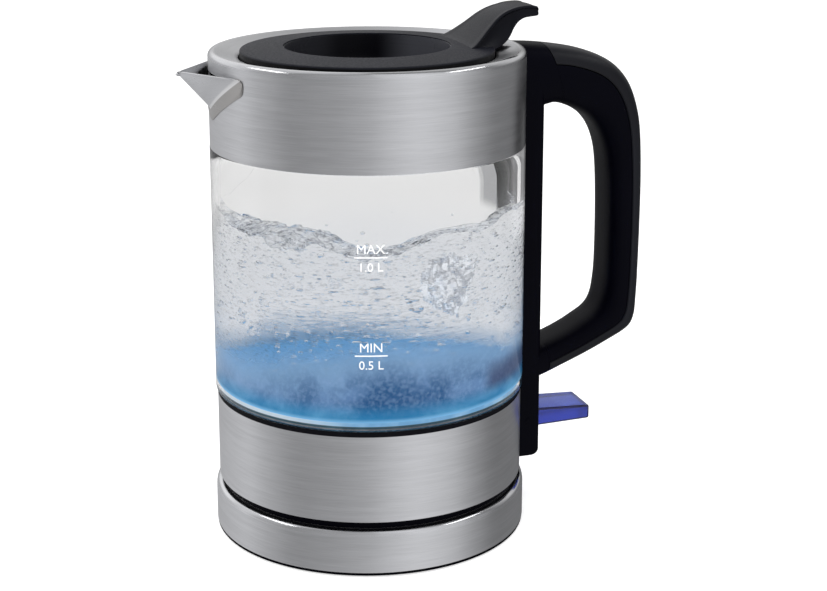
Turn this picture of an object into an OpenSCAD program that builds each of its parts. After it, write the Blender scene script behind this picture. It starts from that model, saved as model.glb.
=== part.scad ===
// Glass jug kettle: a glass body between a steel lower ring and a steel collar, a folded V spout,
// a hinged lid with a thumb lever, a strap handle with a rocking switch, and a 360 degree power base.
// The origin is on the body's axis at the face of the rubber foot. +X points to the handle, +Z up.

/* [Base] */
// Outer radius of the steel base ring
base_r = 67; // [66.5:0.25:70]
// Height of the base's top above the table
base_h = 19.5; // [19:0.25:20]

/* [Body] */
// Outer radius of the steel collar
collar_r = 66.1; // [66:0.05:66.3]
// Outer radius of the steel lower ring
ring_r = 65.5; // [65.4:0.05:65.7]
// Outer radius of the glass
glass_r = 66.2; // [65.8:0.1:66.4]
// Inner radius of the glass
glass_in_r = 63; // [62.9:0.05:63.1]
// Height of the lower ring's bottom edge
jug_z = 23; // [22.9:0.1:23.1]
// Height of the lower ring's top edge
ring_top_z = 59.5; // [59:0.25:60]
// Height of the collar's lower edge
collar_z = 166.7; // [164:0.5:168]
// Height of the rim's highest line
rim_z = 206.4; // [206.2:0.1:206.6]

/* [Spout] */
// Reach of the spout's tip from the body's axis
spout_reach = 80.8; // [76:0.4:88]
// Height of the spout's tip
spout_tip_z = 200.6; // [200:0.2:203]
// Angle from the spout's middle to its corner, seen from above
spout_half_angle = 25; // [22:0.5:25]

/* [Lid] */
// Outer radius of the lid
lid_r = 53; // [52.5:0.1:53.2]
// Radius of the round dish in the lid
dish_r = 34.4; // [30:0.2:34.6]
// Height of the dish's floor
dish_floor_z = 193.4; // [193:0.2:198]
// Half the width of the thumb lever at its tip
thumb_half_w = 10; // [9:0.25:11]

/* [Handle] */
// Width of the grip and the strap
handle_w = 25; // [25:0.5:28]
// Distance from the axis to the strap's outer face
strap_x = 75.4; // [75.2:0.1:76]
// Height of the strap's lower end
strap_z = 21.8; // [21.6:0.1:22.4]

/* [Switch] */
// Reach of the switch lever from the body's axis
switch_reach = 100.2; // [90:0.5:106]
// Width of the switch lever
switch_w = 19.5; // [16:0.25:20]
// Travel of the switch lever, in degrees
switch_travel = 12; // [8:1:12]

/* [Hidden] */
$fn = 96;

// Colours
steel = [0.80, 0.80, 0.79];
dark_steel = [0.55, 0.56, 0.57];
black = [0.10, 0.10, 0.11];
gloss_black = [0.05, 0.05, 0.06];
rubber = [0.07, 0.07, 0.07];
silicone = [0.75, 0.76, 0.77];
brass = [0.80, 0.66, 0.30];
aluminium = [0.76, 0.77, 0.79];
clear = [0.80, 0.88, 0.92, 0.35];
blue = [0.30, 0.36, 0.75, 0.85];
board = [0.08, 0.32, 0.18];

// Small amount that a cutter passes a face by
e = 0.5;

// Sheet thicknesses and radial play
ring_wall = 0.6;
collar_wall = 0.7;
base_wall = 0.8;
play = 0.05;

// Glass and what carries it
neck_r = collar_r - collar_wall - 0.05;
seat_r = ring_r - ring_wall - 0.05;
light_r = glass_in_r + 1.6;
plate_z = 53.8;
plate_wall = 0.8;
cup_r = glass_in_r - 0.8;
cup_top = 64.2;
band_top = 61.8;
upper_seal_top = 168.9;
seat_z = 48.2;
board_z = 49.8;
board_t = 1.2;

// Rim: outer edge round, then a slope down to the lid opening
rim_round = 3;
lip_r = 54.2;
rim_slope = 16.7;
rim_drop = 201.3;

// Lid
lid_z = 201.2;
lid_edge_z = 206;
dome_z = 207.5;
hinge_x = 57;
hinge_z = 203;
pin_r = 1.5;
lug_half = 5.9;
ear_in = 6.1;
ear_out = 9.3;
lug_r = 3;
ear_r = 2.7;
ring_in_r = 50.5;
inner_r = 47;
lid_screw_r = 40;

// Switch
pivot_x = 70;
pivot_z = 38;
hub_r = 4.2;
arm_x = 62.5;
arm_z = [36.5, 39.5];
cavity_x = 72.9;
cavity_half = 11;
cavity_z = [31.5, 58];

// Base socket and the jug's plug
tower_r = 18.5;
tower_top = 27.5;
groove_z = 20;
outer_groove = [13.2, 15.8];
inner_groove = [8.6, 10.9];
sleeve_r = 6;
contact_bore = 3.5;
outer_blade = [13.9, 14.7];
inner_blade = [9.2, 9.9];
plug_roof = 28.6;
deck_z = 16.8;

// Screw circles
base_screw_r = 45;
post_r = 54;
post_angles = [60, 180, 300];
handle_screw_y = 7;
top_screw_z = 182;
low_screw_z = 28.6;
steam_x = 70.5;

// Spout filter
filter_x = -58.5;
filter_half = 22;
filter_z = [177.5, 196.5];

// Grip stations from the collar round to the strap's foot:
// inner x and z, outer x and z, and the share of the depth that lies inside the cover's seam
GRIP = [
    [63.0, 175.0, 63.0, 206.1, 0.62], [74.0, 177.6, 74.0, 205.4, 0.63], [81.7, 179.4, 84.5, 204.0, 0.645],
    [89.0, 177.4, 94.4, 202.0, 0.65], [95.5, 173.9, 103.5, 198.8, 0.65], [99.8, 169.8, 110.8, 194.2, 0.62],
    [102.9, 164.8, 116.5, 187.3, 0.58], [105.2, 158.6, 120.3, 177.8, 0.54], [106.6, 151.1, 122.4, 166.5, 0.50],
    [107.5, 138.0, 123.4, 147.0, 0.48], [107.9, 121.2, 123.5, 124.0, 0.50], [107.8, 104.4, 123.1, 102.0, 0.53],
    [107.1, 95.2, 122.7, 90.0, 0.56], [105.6, 88.3, 121.9, 80.9, 0.56], [102.4, 83.6, 118.6, 75.4, 0.50],
    [96.6, 79.8, 108.0, 69.9, 0.44], [91.6, 77.0, 98.0, 65.4, 0.38], [84.7, 74.0, 87.0, 61.0, 0.36],
    [76.0, 70.6, 76.6, 57.0, 0.40], [71.0, 69.0, 71.0, 55.6, 0.42]
];
grip_steps = 3;
grip_power = 3.2;
cover_from = 5;
cover_to = 53;
core_half = 7.5;
core_from = 0.24;
core_to = 0.84;

// Thumb lever stations along x: top height, underside height, half width beyond the tip's
THUMB = [
    [40.5, 207.6, 204.6, 9.0], [44.0, 210.2, 204.6, 7.5], [48.0, 213.5, 204.6, 5.0], [52.0, 217.0, 205.0, 3.0],
    [55.0, 219.0, 206.2, 1.8], [57.5, 220.2, 207.6, 1.0], [59.5, 220.9, 209.6, 0.5], [61.3, 221.4, 212.9, 0.2],
    [63.4, 221.9, 215.5, 0.1], [66.0, 222.2, 217.0, 0], [69.0, 222.4, 217.7, 0], [72.7, 222.1, 218.3, 0]
];

// ---- Helpers ----

// Points along an arc in a profile
function arc(cx, cz, r, from, to, n = 6) =
    [for (i = [0:n]) [cx + r * cos(from + (to - from) * i / n), cz + r * sin(from + (to - from) * i / n)]];

// A smooth curve through four points at t from 0 to 1
function blend(p0, p1, p2, p3, t) =
    0.5 * (2 * p1 + (p2 - p0) * t + (2 * p0 - 5 * p1 + 4 * p2 - p3) * t * t + (3 * p1 - p0 - 3 * p2 + p3) * t * t * t);

// A list of stations made smooth with n steps between each two
function smooth(list, n) = concat(
    [for (i = [0:len(list) - 2], k = [0:n - 1])
        blend(list[max(i - 1, 0)], list[i], list[i + 1], list[min(i + 2, len(list) - 1)], k / n)],
    [list[len(list) - 1]]);

// Part of a rounded section between its pole and a share of its depth: [depth, side] pairs
function pole_section(share, half, m = 6) =
    let (q = 2 / grip_power, c = 1 - 2 * share, last = acos(sign(c) * pow(abs(c), 1 / q)))
    [for (k = [-m:m]) let (a = last * abs(k) / m)
        [0.5 * (1 - sign(cos(a)) * pow(abs(cos(a)), q)), sign(k) * half * pow(sin(a), q)]];

// A solid skinned over rings of points, each ring with the same count
module skin(rings) {
    n = len(rings[0]);
    last = len(rings) - 1;
    polyhedron(
        points = [for (r = rings) each r],
        faces = concat(
            [for (i = [0:last - 1], j = [0:n - 1]) [i * n + j, i * n + (j + 1) % n, (i + 1) * n + (j + 1) % n]],
            [for (i = [0:last - 1], j = [0:n - 1]) [i * n + j, (i + 1) * n + (j + 1) % n, (i + 1) * n + j]],
            [[for (j = [n - 1:-1:0]) j]],
            [[for (j = [0:n - 1]) last * n + j]]));
}

// A turned ring between two radii and two heights
module tube(inner, outer, low, high) {
    rotate_extrude() translate([inner, low]) square([outer - inner, high - low]);
}

// A turned piece from a profile
module turned(points) {
    rotate_extrude() polygon(points);
}

// A side outline in x and z, extruded to both sides of the middle plane
module side_plate(points, half) {
    rotate([90, 0, 0]) translate([0, 0, -half]) linear_extrude(2 * half) polygon(points);
}

// A round bar along Y through a point of the middle plane
module bar_y(x, z, r, half) {
    translate([x, half, z]) rotate([90, 0, 0]) cylinder(r = r, h = 2 * half);
}

// A round bar along X
module bar_x(y, z, r, from, to) {
    translate([from, y, z]) rotate([0, 90, 0]) cylinder(r = r, h = to - from);
}

// Copies at the three screw posts of a circle
module around(radius, angles) {
    for (a = angles) rotate([0, 0, a]) translate([radius, 0, 0]) children();
}

// A pan head screw standing on its head, with a cross recess
module screw(shank_r, length, head_r, head_h) {
    difference() {
        union() {
            cylinder(r = head_r, h = head_h);
            translate([0, 0, head_h]) cylinder(r = shank_r, h = length);
        }
        for (a = [0, 90]) rotate([0, 0, a]) translate([-head_r * 0.6, -0.35, -e]) cube([head_r * 1.2, 0.7, e + head_h * 0.6]);
    }
}

// ---- Base ----

module base_ring() {
    color(steel) difference() {
        turned(concat(
            [[base_r - base_wall, 0.9], [base_r, 0.9]],
            arc(base_r - 3, base_h - 3, 3, 0, 90),
            [[61.4, base_h], [61.4, base_h - base_wall]],
            arc(base_r - 3, base_h - 3, 3 - base_wall, 90, 0)));
        translate([0, 60, 9.5]) rotate([-90, 0, 0]) cylinder(r = 6, h = 12);
    }
}

module base_deck() {
    color(black) difference() {
        union() {
            turned([[tower_r + 0.1, deck_z], [63.9, deck_z], [63.9, base_h - base_wall], [61.4, base_h - base_wall],
                [61.4, base_h], [tower_r + 0.1, base_h]]);
            around(base_screw_r, post_angles) translate([0, 0, 3]) cylinder(r = 4, h = deck_z - 2);
        }
        around(base_screw_r, post_angles) cylinder(r = 1.5, h = 17.8);
    }
}

module base_cover() {
    color(black) difference() {
        turned([[0, 1.2], [62.8, 1.2], [62.8, 0.4], [base_r - 0.2, 0.4], [base_r - 0.2, 0.9],
            [base_r - base_wall, 0.9], [base_r - base_wall, 8], [base_r - base_wall - 1.2, 8],
            [base_r - base_wall - 1.2, 3], [0, 3]]);
        tube(50, 62, 0, 2);
        around(base_screw_r, post_angles) {
            cylinder(r = 3.2, h = 2.2);
            cylinder(r = 1.5, h = 4);
        }
        translate([0, 60, 9.5]) rotate([-90, 0, 0]) cylinder(r = 6, h = 12);
    }
}

module foot_ring() {
    color(rubber) tube(50, 62, 0, 2);
}

module base_screws() {
    color(dark_steel) around(base_screw_r, post_angles) translate([0, 0, 1.4]) screw(1.5, 10, 3.1, 0.8);
}

module base_socket() {
    color(black) difference() {
        turned(concat(
            [[0, 5], [tower_r, 5]],
            [[tower_r, 13.8], [24, 13.8], [24, deck_z], [tower_r, deck_z]],
            arc(tower_r - 1.2, tower_top - 1.2, 1.2, 0, 90, 4),
            [[0, tower_top]]));
        tube(outer_groove[0], outer_groove[1], groove_z, tower_top + e);
        tube(inner_groove[0], inner_groove[1], groove_z, tower_top + e);
        translate([0, 0, 6.5]) cylinder(r = sleeve_r, h = 30);
    }
}

module socket_rings() {
    color(brass) {
        tube(outer_groove[1] - 0.6, outer_groove[1], groove_z, tower_top - 1);
        tube(inner_groove[1] - 0.6, inner_groove[1], groove_z, tower_top - 1);
    }
}

module cord_inlet() {
    color(rubber) difference() {
        translate([0, 58, 9.5]) rotate([-90, 0, 0]) {
            cylinder(r = 6, h = 10.5);
            translate([0, 0, 8.3]) cylinder(r = 7.4, h = 2.2);
        }
        difference() {
            cylinder(r = base_r, h = 30);
            translate([0, 50, 9.5]) rotate([-90, 0, 0]) cylinder(r = 6, h = 20);
        }
        translate([0, 50, 9.5]) rotate([-90, 0, 0]) cylinder(r = 3.6, h = 25);
    }
}

module centre_contact() {
    color(brass) difference() {
        translate([0, 0, 6.5]) cylinder(r = sleeve_r - play, h = 20.3);
        translate([0, 0, 8]) cylinder(r = contact_bore, h = 20);
    }
}

// ---- Foot of the jug ----

module jug_bottom() {
    color(black) difference() {
        union() {
            turned([[tower_r + 0.8, 21.3], [56, 21.3], [56, base_h], [62.8, base_h], [62.8, jug_z - 0.1],
                [seat_r, jug_z - 0.1], [seat_r, 25.5], [63, 25.5], [63, 23.5],
                [tower_r + 0.8, 23.5]]);
            around(post_r, post_angles) translate([0, 0, 21.3]) cylinder(r = 3.6, h = 11.7);
        }
        around(post_r, post_angles) {
            translate([0, 0, 21.3 - 3]) cylinder(r = 1.25, h = 20);
            translate([0, 0, base_h - e]) cylinder(r = 2.6, h = 3 + e);
        }
    }
}

module bottom_screws() {
    color(dark_steel) around(post_r, post_angles) translate([0, 0, 20.8]) screw(1.25, 20, 2.5, 1.7);
}

module lower_ring() {
    color(steel) difference() {
        tube(ring_r - ring_wall, ring_r, jug_z, ring_top_z);
        translate([60, -4.5, 33]) cube([10, 9, 10]);
        for (y = [-1, 1]) bar_x(y * handle_screw_y, low_screw_z, 1.5, 60, 70);
    }
}

module jug_plug() {
    color(black) difference() {
        turned([[contact_bore - play, plug_roof], [tower_r + 0.8, plug_roof], [tower_r + 0.8, 23.5], [27, 23.5],
            [27, 26], [24, 26], [24, 40], [contact_bore - play, 40]]);
        tube(outer_blade[0], outer_blade[1], plug_roof - e, 32);
        tube(inner_blade[0], inner_blade[1], plug_roof - e, 32);
    }
}

module plug_contacts() {
    color(brass) {
        tube(outer_blade[0], outer_blade[1], 21, 32);
        tube(inner_blade[0], inner_blade[1], 21, 32);
        translate([0, 0, 9]) cylinder(r = contact_bore - play, h = 31);
    }
}

module control_unit() {
    color([0.85, 0.84, 0.80]) {
        translate([-22, -17, 40]) cube([48, 34, 9.5]);
        translate([24.2, -6, 30]) cube([1.8, 12, 10]);
        translate([26, -6, 30]) cube([33, 12, 6.5]);
    }
}

module bimetal_discs() {
    color(dark_steel) for (y = [-9, 9]) translate([0, y, 49.5]) cylinder(r = 7.5, h = 0.7);
}

module heating_plate() {
    color(steel) difference() {
        union() {
            turned([[0, plate_z - plate_wall], [cup_r, plate_z - plate_wall], [cup_r, cup_top],
                [cup_r - plate_wall, cup_top], [cup_r - plate_wall, plate_z], [0, plate_z]]);
            around(post_r, post_angles) translate([0, 0, 33]) cylinder(r = 2.5, h = plate_z - plate_wall / 2 - 33);
        }
        around(post_r, post_angles) translate([0, 0, 33 - e]) cylinder(r = 1.25, h = 10 + e);
    }
}

module heat_spreader() {
    color(aluminium) tube(0, 50, 50.2, plate_z - plate_wall);
}

module heating_element() {
    color(dark_steel) {
        rotate([0, 0, 30]) translate([0, 0, 46.7]) rotate_extrude(angle = 300) translate([40, 0]) circle(r = 3.5);
        for (a = [31, 329]) rotate([0, 0, a]) translate([40, 0, 36]) cylinder(r = 2.6, h = 10);
    }
}

module element_tabs() {
    color(brass) for (a = [31, 329]) rotate([0, 0, a]) translate([38.4, -0.5, 28]) cube([3.2, 1, 8]);
}

module glass_seat() {
    color(black) difference() {
        turned([[51, seat_z], [seat_r, seat_z], [seat_r, 53.2], [seat_r - 0.8, 53.2],
            [seat_r - 0.8, board_z], [51, board_z]]);
        around(post_r, post_angles) translate([0, 0, 40]) cylinder(r = 2.5, h = 20);
    }
}

module led_board() {
    color(board) tube(57, seat_r - 0.8, board_z, board_z + board_t);
}

module leds() {
    color([0.5, 0.75, 1.0]) for (a = [0:40:320]) rotate([0, 0, a])
        translate([62.6, -1.4, board_z + board_t]) cube([1.4, 2.8, 1.9]);
}

module light_ring() {
    color(clear) tube(glass_in_r, light_r, 53.2, band_top);
}

module lower_seal() {
    color(silicone) turned([[cup_r, 54.5], [glass_in_r, 54.5], [glass_in_r, 64.8], [cup_r - 0.8, 64.8],
        [cup_r - 0.8, cup_top], [cup_r, cup_top]]);
}

module seal_band() {
    color(rubber) turned([[light_r, ring_top_z - 3], [seat_r, ring_top_z - 3], [seat_r, ring_top_z],
        [ring_r, ring_top_z], [ring_r, band_top], [light_r, band_top]]);
}

// ---- Glass and collar ----

module glass_body() {
    color(clear) tube(glass_in_r, glass_r, band_top, collar_z);
}

module upper_seal() {
    color(rubber) tube(glass_in_r, neck_r, collar_z, upper_seal_top);
}

// The V opening behind the spout, as a prism along X
module spout_prism(grow, from, to) {
    half = collar_r * sin(spout_half_angle) - 2.5;
    translate([from, 0, 0]) rotate([90, 0, 90]) linear_extrude(to - from)
        polygon([[-half - grow, 199 + grow * 0.3], [-grow * 0.4, 186.4 - grow], [grow * 0.4, 186.4 - grow],
            [half + grow, 199 + grow * 0.3]]);
}

module collar() {
    slope_r = collar_r - rim_round + rim_round * cos(90 + rim_slope);
    slope_z = rim_z - rim_round + rim_round * sin(90 + rim_slope);
    lip_z = slope_z - (slope_r - lip_r) * tan(rim_slope);
    inner_round = rim_round - collar_wall;
    color(steel) difference() {
        turned(concat(
            [[collar_r - collar_wall, collar_z], [collar_r, collar_z]],
            arc(collar_r - rim_round, rim_z - rim_round, rim_round, 0, 90 + rim_slope, 8),
            [[lip_r, lip_z], [lip_r, rim_drop], [lip_r + collar_wall, rim_drop],
                [lip_r + collar_wall, lip_z - collar_wall / cos(rim_slope) + collar_wall * tan(rim_slope)]],
            arc(collar_r - rim_round, rim_z - rim_round, inner_round, 90 + rim_slope, 0, 8)));
        spout_prism(0, -70, -50);
        translate([50, -ear_out - 0.4, 198]) cube([11.6, 2 * ear_out + 0.8, 12]);
        for (y = [-1, 1]) bar_x(y * handle_screw_y, top_screw_z, 1.5, 55, 70);
        bar_x(0, 190, 3.2, 55, 70);
    }
}

module spout() {
    corner_y = collar_r * sin(spout_half_angle);
    corner_x = -collar_r * cos(spout_half_angle);
    keel_z = 184.7;
    wall = 0.8;
    color(steel) difference() {
        union() {
            hull() {
                translate([-spout_reach + 0.6, 0, spout_tip_z - 0.5]) sphere(r = 0.5, $fn = 16);
                for (s = [-1, 1]) translate([corner_x + 0.5, s * (corner_y - 0.5), 199.6]) sphere(r = 0.5, $fn = 16);
                translate([-64.5, 0, keel_z + 1.5]) sphere(r = 1.5, $fn = 16);
                translate([-60, 0, 199.6]) sphere(r = 0.5, $fn = 16);
            }
            intersection() {
                tube(collar_r - e, collar_r + 0.5, 175, 204);
                spout_prism(5, -75, -50);
            }
        }
        cylinder(r = collar_r, h = 250);
        hull() {
            translate([-spout_reach + 2.4, 0, spout_tip_z + 0.2]) sphere(r = 0.4, $fn = 16);
            translate([-spout_reach + 4, 0, spout_tip_z + 6]) sphere(r = 0.4, $fn = 16);
            for (s = [-1, 1], z = [199.8, 206]) translate([corner_x + 3, s * (corner_y - wall - 1.4), z]) sphere(r = 0.4, $fn = 16);
            translate([-62, 0, keel_z + 3.6]) sphere(r = 1.2, $fn = 16);
            translate([-60, 0, 206]) sphere(r = 0.4, $fn = 16);
        }
    }
}

module neck_ring() {
    color(black) {
        difference() {
            turned([[ring_in_r, 197.5], [64.2, 197.5], [64.2, upper_seal_top], [neck_r, upper_seal_top],
                [neck_r, 203.2], [63, 205.2], [55.2, 202.8], [55.2, lid_z], [ring_in_r, lid_z]]);
            translate([-70, -filter_half, 178]) cube([20, 2 * filter_half, 22.4]);
            translate([49, -ear_out - 0.1, 190]) cube([13, 2 * ear_out + 0.2, 20]);
            for (y = [-1, 1]) bar_x(y * handle_screw_y, top_screw_z, 1.5, 55, 70);
            bar_x(0, 190, 3.2, 55, 70);
        }
        for (s = [-1, 1]) difference() {
            translate([0, s * (ear_in + ear_out) / 2, 0]) side_plate(concat(
                [[51.5, 197.5], [63, 197.5], [63, hinge_z - 1.5]],
                arc(hinge_x, hinge_z, ear_r, 0, 180, 12),
                [[53.6, lid_z - 0.3], [51.5, lid_z - 0.3]]), (ear_out - ear_in) / 2);
            bar_y(hinge_x, hinge_z, pin_r, 30);
        }
        for (s = [-1, 1]) {
            translate([-60.3, s > 0 ? filter_half + 0.2 : -filter_half - 2, 177]) cube([4.6, 1.8, 21]);
        }
    }
}

module filter_frame() {
    t = 2;
    color(black) difference() {
        translate([filter_x, -filter_half, filter_z[0]]) cube([t, 2 * filter_half, filter_z[1] - filter_z[0]]);
        translate([filter_x - e, -filter_half + 2, filter_z[0] + 2])
            cube([t + 2 * e, 2 * filter_half - 4, filter_z[1] - filter_z[0] - 4]);
    }
}

module filter_mesh() {
    bar = 0.6;
    y0 = filter_half - 2;
    z0 = filter_z[0] + 2;
    z1 = filter_z[1] - 2;
    color(dark_steel) translate([filter_x + 0.8, 0, 0]) {
        for (i = [0:16]) translate([0, -y0 + i * 2 * (y0 - bar / 2) / 16, z0]) cube([0.5, bar, z1 - z0]);
        for (k = [0:6]) translate([0, -y0, z0 + k * (z1 - z0 - bar) / 6]) cube([0.5, 2 * y0, bar]);
    }
}

module hinge_pin() {
    color(dark_steel) bar_y(hinge_x, hinge_z, pin_r, ear_out);
}

// ---- Lid ----

function thumb_ring(s) =
    let (w = thumb_half_w + s[3], c = 1.4, x = s[0], top = s[1], low = s[2])
    [[x, -w, low + c], [x, -w, top - c], [x, -w + c, top], [x, w - c, top],
        [x, w, top - c], [x, w, low + c], [x, w - c, low], [x, -w + c, low]];

module lid_top() {
    color(black) difference() {
        union() {
            turned(concat(
                [[50.8, lid_z], [lid_r, lid_z]],
                arc(lid_r - 1.1, lid_edge_z - 1.1, 1.1, 0, 85, 4),
                arc(dish_r + 1, dome_z - 1, 1, 95, 180, 4),
                [[dish_r, 205.2], [50.8, 204]]));
            skin([for (s = smooth(THUMB, 2)) thumb_ring(s)]);
            bar_y(hinge_x, hinge_z, lug_r, lug_half);
            side_plate([[51.5, lid_z], [hinge_x, hinge_z - lug_r + 0.2], [hinge_x + 2.4, hinge_z + 1.6],
                [hinge_x + 1.2, 207.6], [51.5, 207]], lug_half);
            around(lid_screw_r, post_angles) translate([0, 0, 189.8]) cylinder(r = 2.6, h = 15.6);
        }
        bar_y(hinge_x, hinge_z, pin_r + play, 30);
        around(lid_screw_r, post_angles) translate([0, 0, 188]) cylinder(r = 1.25, h = 10.8);
    }
}

module lid_dish() {
    color(gloss_black) turned([[0, dish_floor_z - 1.6], [dish_r + 1.2, dish_floor_z - 1.6], [dish_r + 1.2, 205.1],
        [dish_r, 205.1], [dish_r, dish_floor_z], [0, dish_floor_z]]);
}

module lid_inner() {
    color(steel) difference() {
        turned([[0, 188.6], [inner_r, 188.6], [inner_r, 204.1], [inner_r - 1.2, 204.1], [inner_r - 1.2, 189.8], [0, 189.8]]);
        around(lid_screw_r, post_angles) translate([0, 0, 188]) cylinder(r = 1.25, h = 3);
    }
}

module lid_seal() {
    color(silicone) tube(inner_r, ring_in_r - 0.3, 198, 200.8);
}

module lid_screws() {
    color(dark_steel) around(lid_screw_r, post_angles) translate([0, 0, 187.2]) screw(1.25, 9, 2.4, 1.4);
}

// ---- Handle ----

function section_ring(s, share, half, from_outer) =
    [for (p = pole_section(from_outer ? 1 - share : share, half))
        let (d = from_outer ? 1 - p[0] : p[0])
        [s[0] + (s[2] - s[0]) * d, from_outer ? p[1] : -p[1], s[1] + (s[3] - s[1]) * d]];

// The part of the grip inside or outside the cover's seam, between two steps of its length
module grip(first, last, from_outer) {
    line = smooth(GRIP, grip_steps);
    skin([for (i = [first:last]) section_ring(line[i], line[i][4], handle_w / 2, from_outer)]);
}

// A point of the middle plane at a share of the grip's depth
function grip_point(s, share) = [s[0] + (s[2] - s[0]) * share, s[1] + (s[3] - s[1]) * share];

// The hollow of the grip
module grip_core(first, last) {
    line = smooth(GRIP, grip_steps);
    side_plate(concat(
        [for (i = [first:last]) grip_point(line[i], core_from)],
        [for (i = [last:-1:first]) grip_point(line[i], core_to)]), core_half);
}

module strap() {
    half = handle_w / 2;
    edge = 3;
    foot = 5;
    intersection() {
        translate([0, 0, strap_z]) linear_extrude(191 - strap_z) polygon(concat(
            [[60, -half]], arc(strap_x - edge, -half + edge, edge, -90, 0),
            arc(strap_x - edge, half - edge, edge, 0, 90), [[60, half]]));
        side_plate(concat(
            [[58, strap_z]], arc(strap_x - foot, strap_z + foot, foot, -90, 0), [[strap_x, 195], [58, 195]]), half + 1);
    }
}

module handle_body() {
    last = (len(GRIP) - 1) * grip_steps;
    color(black) difference() {
        union() {
            strap();
            grip(0, last, false);
            grip(0, cover_from, true);
            grip(cover_to, last, true);
        }
        cylinder(r = glass_r + 0.05, h = 250);
        grip_core(cover_from, cover_to);
        translate([50, -cavity_half, cavity_z[0]]) cube([cavity_x - 50, 2 * cavity_half, cavity_z[1] - cavity_z[0]]);
        translate([cavity_x - e, -switch_w / 2 - 0.3, 34]) cube([10, switch_w + 0.6, 10.6]);
        bar_y(pivot_x, pivot_z, pin_r, handle_w / 2 + 0.2);
        translate([steam_x, 0, cavity_z[0]]) cylinder(r = 3.2, h = 193.2 - cavity_z[0]);
        bar_x(0, 190, 3.2, 55, steam_x);
        for (y = [-1, 1]) {
            bar_x(y * handle_screw_y, top_screw_z, 1.5, 60, 74);
            bar_x(y * handle_screw_y, low_screw_z, 1.5, 60, 72.5);
        }
    }
}

module handle_cover() {
    color(black) difference() {
        grip(cover_from, cover_to, true);
        grip_core(cover_from, cover_to);
    }
}

module handle_screws() {
    color(dark_steel) for (y = [-1, 1]) {
        translate([61.4, y * handle_screw_y, top_screw_z]) rotate([0, 90, 0]) screw(1.5, 11, 2.8, 1.6);
        translate([62.4, y * handle_screw_y, low_screw_z]) rotate([0, 90, 0]) screw(1.5, 7.4, 2.8, 1.6);
    }
}

module steam_tube() {
    wall = 0.8;
    color(silicone) difference() {
        union() {
            translate([steam_x, 0, cavity_z[1]]) cylinder(r = 3.2, h = 193.2 - cavity_z[1]);
            bar_x(0, 190, 3.2, 62.5, steam_x);
        }
        translate([steam_x, 0, cavity_z[1] - e]) cylinder(r = 3.2 - wall, h = 193.2 - wall - cavity_z[1] + e);
        bar_x(0, 190, 3.2 - wall, 62, steam_x);
    }
}

module steam_disc() {
    color(dark_steel) {
        translate([cavity_x - 1.2, -6, 46]) cube([1.2, 12, 11]);
        bar_x(0, 51.5, 5, cavity_x - 1.9, cavity_x - 1.2);
    }
}

// ---- Switch ----

module switch_lever() {
    color(blue) difference() {
        union() {
            bar_y(pivot_x, pivot_z, hub_r, switch_w / 2);
            side_plate([[pivot_x, pivot_z - hub_r], [strap_x, 34.3], [switch_reach, 35], [switch_reach, 41.2],
                [strap_x, 42.3], [pivot_x, pivot_z + hub_r]], switch_w / 2);
            side_plate([[arm_x, arm_z[0]], [pivot_x, arm_z[0]], [pivot_x, arm_z[1]], [arm_x, arm_z[1]]], 3);
        }
        bar_y(pivot_x, pivot_z, pin_r + play, 30);
    }
}

module lever_pin() {
    color(dark_steel) bar_y(pivot_x, pivot_z, pin_r, handle_w / 2 + 0.2);
}

module trip_rod() {
    color([0.85, 0.84, 0.80]) difference() {
        translate([60, -4.2, 28.5]) cube([3.8, 8.4, 19]);
        translate([61.6, -3.3, 35.9]) cube([5, 6.6, 4.2]);
    }
}

base_ring();
base_deck();
base_cover();
foot_ring();
base_screws();
base_socket();
socket_rings();
cord_inlet();
centre_contact();
jug_bottom();
bottom_screws();
lower_ring();
jug_plug();
plug_contacts();
control_unit();
bimetal_discs();
heating_plate();
heat_spreader();
heating_element();
element_tabs();
glass_seat();
led_board();
leds();
light_ring();
lower_seal();
seal_band();
glass_body();
upper_seal();
collar();
spout();
neck_ring();
filter_frame();
filter_mesh();
hinge_pin();
lid_top();
lid_dish();
lid_inner();
lid_seal();
lid_screws();
handle_body();
handle_cover();
handle_screws();
steam_tube();
steam_disc();
switch_lever();
lever_pin();
trip_rod();
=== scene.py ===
"""Glass jug kettle: the finished surfaces, materials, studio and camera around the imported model.

Surfaces are written in millimetres and become metres in `mesh_of`. Shaders are in metres, on Object coordinates.
The axis of the body is Z and +X points to the handle.
"""

import math

import bpy
import numpy as np
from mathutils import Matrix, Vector


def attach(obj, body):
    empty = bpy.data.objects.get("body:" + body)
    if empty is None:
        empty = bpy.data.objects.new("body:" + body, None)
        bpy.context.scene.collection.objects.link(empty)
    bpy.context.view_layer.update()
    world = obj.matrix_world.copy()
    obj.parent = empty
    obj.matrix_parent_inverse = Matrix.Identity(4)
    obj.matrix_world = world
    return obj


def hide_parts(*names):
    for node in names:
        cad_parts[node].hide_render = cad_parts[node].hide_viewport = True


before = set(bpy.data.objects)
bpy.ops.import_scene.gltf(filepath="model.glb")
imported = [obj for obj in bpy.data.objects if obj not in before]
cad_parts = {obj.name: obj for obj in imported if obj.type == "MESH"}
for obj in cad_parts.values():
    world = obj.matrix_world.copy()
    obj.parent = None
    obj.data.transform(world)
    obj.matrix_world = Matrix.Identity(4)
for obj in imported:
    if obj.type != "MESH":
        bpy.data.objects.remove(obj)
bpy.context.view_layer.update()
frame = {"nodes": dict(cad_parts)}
nodes = frame["nodes"]
MM = 0.001

# ---- Sizes in millimetres, the same as the solids' ----

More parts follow.
